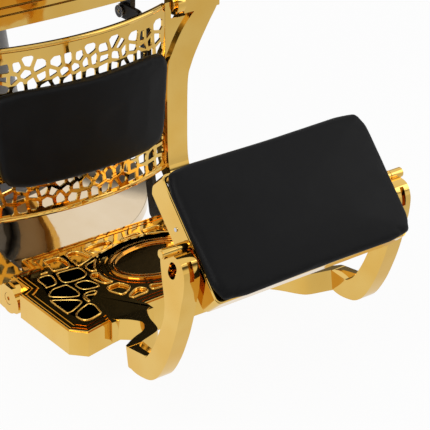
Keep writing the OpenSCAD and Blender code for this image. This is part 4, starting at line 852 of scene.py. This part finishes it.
@dataclass
class Footplate(Pierced):
    """The footplate, with raised beads along the rims of its recesses."""

    top: float = 130 * MM
    bead: float = 1.5 * MM
    rim_turn: float = 60
    close: float = 0.05 * MM
    beads: bpy.types.Object | None = field(init=False, default=None)

    def build(self, dresser: Dresser) -> bpy.types.Object:
        """Makes the rounded plate in place of the node, with its beads.

        Args:
            dresser: Gives the pieces their finish.

        Returns:
            The plate.
        """
        piece = super().build(dresser)
        dresser.dress(self.beads, self.slot, dresser.body_of(self.node))
        return piece

    def shape(self, piece: bpy.types.Object) -> None:
        """Rounds the corners of the recesses and lays the beads along their rims."""
        super().shape(piece)
        rims = self.rim_points(piece)

        def on_rim(one: np.ndarray, two: np.ndarray) -> np.ndarray:
            return np.array([self.key(a) in rims and self.key(b) in rims for a, b in zip(one, two)])

        Bench.select_sharp(piece, self.rim_turn, on_rim)
        Bench.edit(piece, lambda: bpy.ops.mesh.duplicate(),
                   lambda: bpy.ops.mesh.separate(type="SELECTED"), mode="EDGE")
        self.beads = next(other for other in bpy.context.selected_objects if other != piece)
        self.beads.name = f"{self.node}_beads"
        Bench.tube(self.beads, self.bead)

    @staticmethod
    def key(point: np.ndarray) -> tuple[int, ...]:
        """Returns a point in hundredths of a millimetre."""
        return tuple(np.round(point / (0.01 * MM)).astype(int))

    def rim_points(self, piece: bpy.types.Object) -> set[tuple[int, ...]]:
        """Returns the upper ends of the recesses' upright edges, as keys."""
        ends = np.empty(len(piece.data.edges) * 2, dtype=np.int32)
        piece.data.edges.foreach_get("vertices", ends)
        places = Bench.coordinates(piece)[ends.reshape(-1, 2)]
        tops = np.where(places[:, :1, 2:] > places[:, 1:, 2:], places[:, :1], places[:, 1:])[:, 0]
        low = places[:, :, 2].min(axis=1)
        shift = np.abs(places[:, 0, :2] - places[:, 1, :2]).max(axis=1)
        at_top = np.abs(tops[:, 2] - self.top) < self.close
        as_deep = np.abs(low - self.top + self.depth) < self.close
        return {self.key(point) for point in tops[at_top & as_deep & (shift < self.close)]}


@dataclass
class Base:
    """The base plate, the pump with its pedal, and the lift."""

    edge: float = 1.5 * MM

    def build(self, dresser: Dresser) -> list[bpy.types.Object]:
        """Returns the pieces of the base, built."""
        castings = [
            Casting("base_disc", 2 * self.edge, Slot.BASE_GOLD), Casting("pump_gland", self.edge),
            Casting("pump_housing", self.edge, Slot.GREY_CASTING),
            Casting("pedal_bracket", self.edge, Slot.GREY_CASTING),
            Casting("swivel_hub", self.edge, Slot.GREY_CASTING), Casting("pump_pedal", self.edge),
            Casting("pedal_pad", self.edge, Slot.RUBBER), Casting("floor_pad", self.edge, Slot.RUBBER),
            Casting("pump_bolts", 0.5 * self.edge, Slot.STEEL),
        ]
        return [casting.build(dresser) for casting in castings]


@dataclass
class Linkage:
    """The recline linkage: the levelling links, the drive rod, the cylinder and their brackets."""

    edge: float = 0.8 * MM
    pin_edge: float = 0.5 * MM

    def build(self, dresser: Dresser) -> list[bpy.types.Object]:
        """Returns the pieces of the linkage, built."""
        plates = ("link_left", "link_right", "drive_rod", "link_brackets", "cylinder_bracket",
                  "recline_cylinder", "underseat_plate", "cross_tubes")
        pins = {"link_bolts": Slot.STEEL, "link_foot_pins": Slot.STEEL, "recline_rod": Slot.STEEL,
                "back_pivot_pins": Slot.GOLD, "leg_hinge_pins": Slot.GOLD, "lever_bolt": Slot.STEEL}
        castings = [Casting(node, self.edge, Slot.BLACK_STEEL) for node in plates]
        castings += [Casting(node, self.pin_edge, slot) for node, slot in pins.items()]
        return [casting.build(dresser) for casting in castings]


@dataclass
class LegRest:
    """The side rails, the pierced calf panel and its pad."""

    rail_edge: float = 1.8 * MM
    panel_edge: float = 0.5 * MM
    panel_depth: float = 3 * MM

    def build(self, dresser: Dresser) -> list[bpy.types.Object]:
        """Returns the pieces of the leg rest, built."""
        castings = [
            Casting("rail_left", self.rail_edge), Casting("rail_right", self.rail_edge),
            Pierced("calf_panel", self.panel_edge, segments=1, depth=self.panel_depth, across=True),
            Casting("toe_screws", self.panel_edge),
        ]
        pad = Pad("calf_pad", cap=2 * MM, shrink=-1 * MM, voxel=4 * MM, pressure=1, smoothing=2,
                  board=(0, 1, 0))
        return [casting.build(dresser) for casting in castings] + pad.build(dresser)


@dataclass
class Footrest:
    """The footplate with its relief, the yokes, and the flip footrest with its tray, pins and pad."""

    edge: float = 2.4 * MM
    tray_edge: float = 1.2 * MM
    plate_edge: float = 0.6 * MM
    plate_depth: float = 3 * MM
    pin_edge: float = 0.6 * MM
    medallion_edge: float = 0.5 * MM
    screw_edge: float = 0.3 * MM
    tilt: float = 48

    def build(self, dresser: Dresser) -> list[bpy.types.Object]:
        """Returns the pieces of the footrest, built."""
        pieces = [Casting(node, self.edge, segments=3).build(dresser) for node in ("yoke_left", "yoke_right")]
        plate = Footplate("footplate", self.plate_edge, depth=self.plate_depth)
        pieces += [Casting("footrest_tray", self.tray_edge).build(dresser),
                   Casting("trunnion_pins", self.pin_edge).build(dresser),
                   Casting("tray_screws", self.screw_edge, Slot.STEEL).build(dresser),
                   Casting("medallion", self.medallion_edge, Slot.MEDALLION).build(dresser),
                   plate.build(dresser), plate.beads]
        tilt = math.radians(self.tilt)
        pad = Pad("footrest_cushion", cap=2.5 * MM, shrink=-2 * MM, voxel=4 * MM, pressure=1, smoothing=1,
                  board=(0, math.sin(tilt), -math.cos(tilt)))
        return pieces + pad.build(dresser)


@dataclass
class Seat:
    """The seat frame, its cushion and the armrests."""

    edge: float = 1.6 * MM

    def build(self, dresser: Dresser) -> list[bpy.types.Object]:
        """Returns the pieces of the seat, built."""
        nodes = ("seat_apron", "seat_side_left", "seat_side_right", "seat_rear_rail", "hinge_brackets",
                 "recline_lever")
        pieces = [Casting(node, self.edge).build(dresser) for node in nodes]
        pieces.append(Casting("lever_grip", self.edge, Slot.PLASTIC).build(dresser))
        pieces += Pad("seat_cushion", 9 * MM, 4 * MM, voxel=6 * MM, welt_share=0.62).build(dresser)
        for node in ("arm_pad_left", "arm_pad_right"):
            pieces += Pad(node, 4 * MM, 2 * MM, voxel=4 * MM).build(dresser)
        return pieces


@dataclass
class Back:
    """The back shell with its cushion, and the headrest."""

    edge: float = 1.2 * MM
    shell_depth: float = 8 * MM
    lean: float = 12

    def build(self, dresser: Dresser) -> list[bpy.types.Object]:
        """Returns the pieces of the back, built."""
        lean = math.radians(self.lean)
        rear = (0, math.cos(lean), -math.sin(lean))
        castings = [
            Pierced("back_shell", self.edge, depth=self.shell_depth, axis=rear),
            Casting("headrest_socket", self.edge), Casting("headrest_bracket", self.edge),
            Casting("headrest_bar", self.edge, Slot.STEEL), Casting("headrest_knob", self.edge, Slot.PLASTIC),
            Casting("back_cross_tube", self.edge, Slot.BLACK_STEEL),
            Casting("back_uprights", self.edge, Slot.BLACK_STEEL),
        ]
        pieces = [casting.build(dresser) for casting in castings]
        pieces += Pad("back_cushion", 9 * MM, 4 * MM, voxel=6 * MM, board=rear).build(dresser)
        pieces += Pad("headrest_cushion", 6 * MM, 3 * MM, board=rear, welt_share=0.55).build(dresser)
        return pieces


def main() -> None:
    """Builds the scene and reports each piece."""
    logging.basicConfig(level=logging.INFO, format="%(message)s")
    Studio().build()
    dresser = Dresser(Wardrobe().build())
    dresser.dress_nodes()
    for assembly in (Base(), Linkage(), LegRest(), Footrest(), Seat(), Back()):
        for piece in assembly.build(dresser):
            log.info("%s: %s, %d faces", type(assembly).__name__, piece.name, len(piece.data.polygons))


if __name__ == "__main__":
    main()
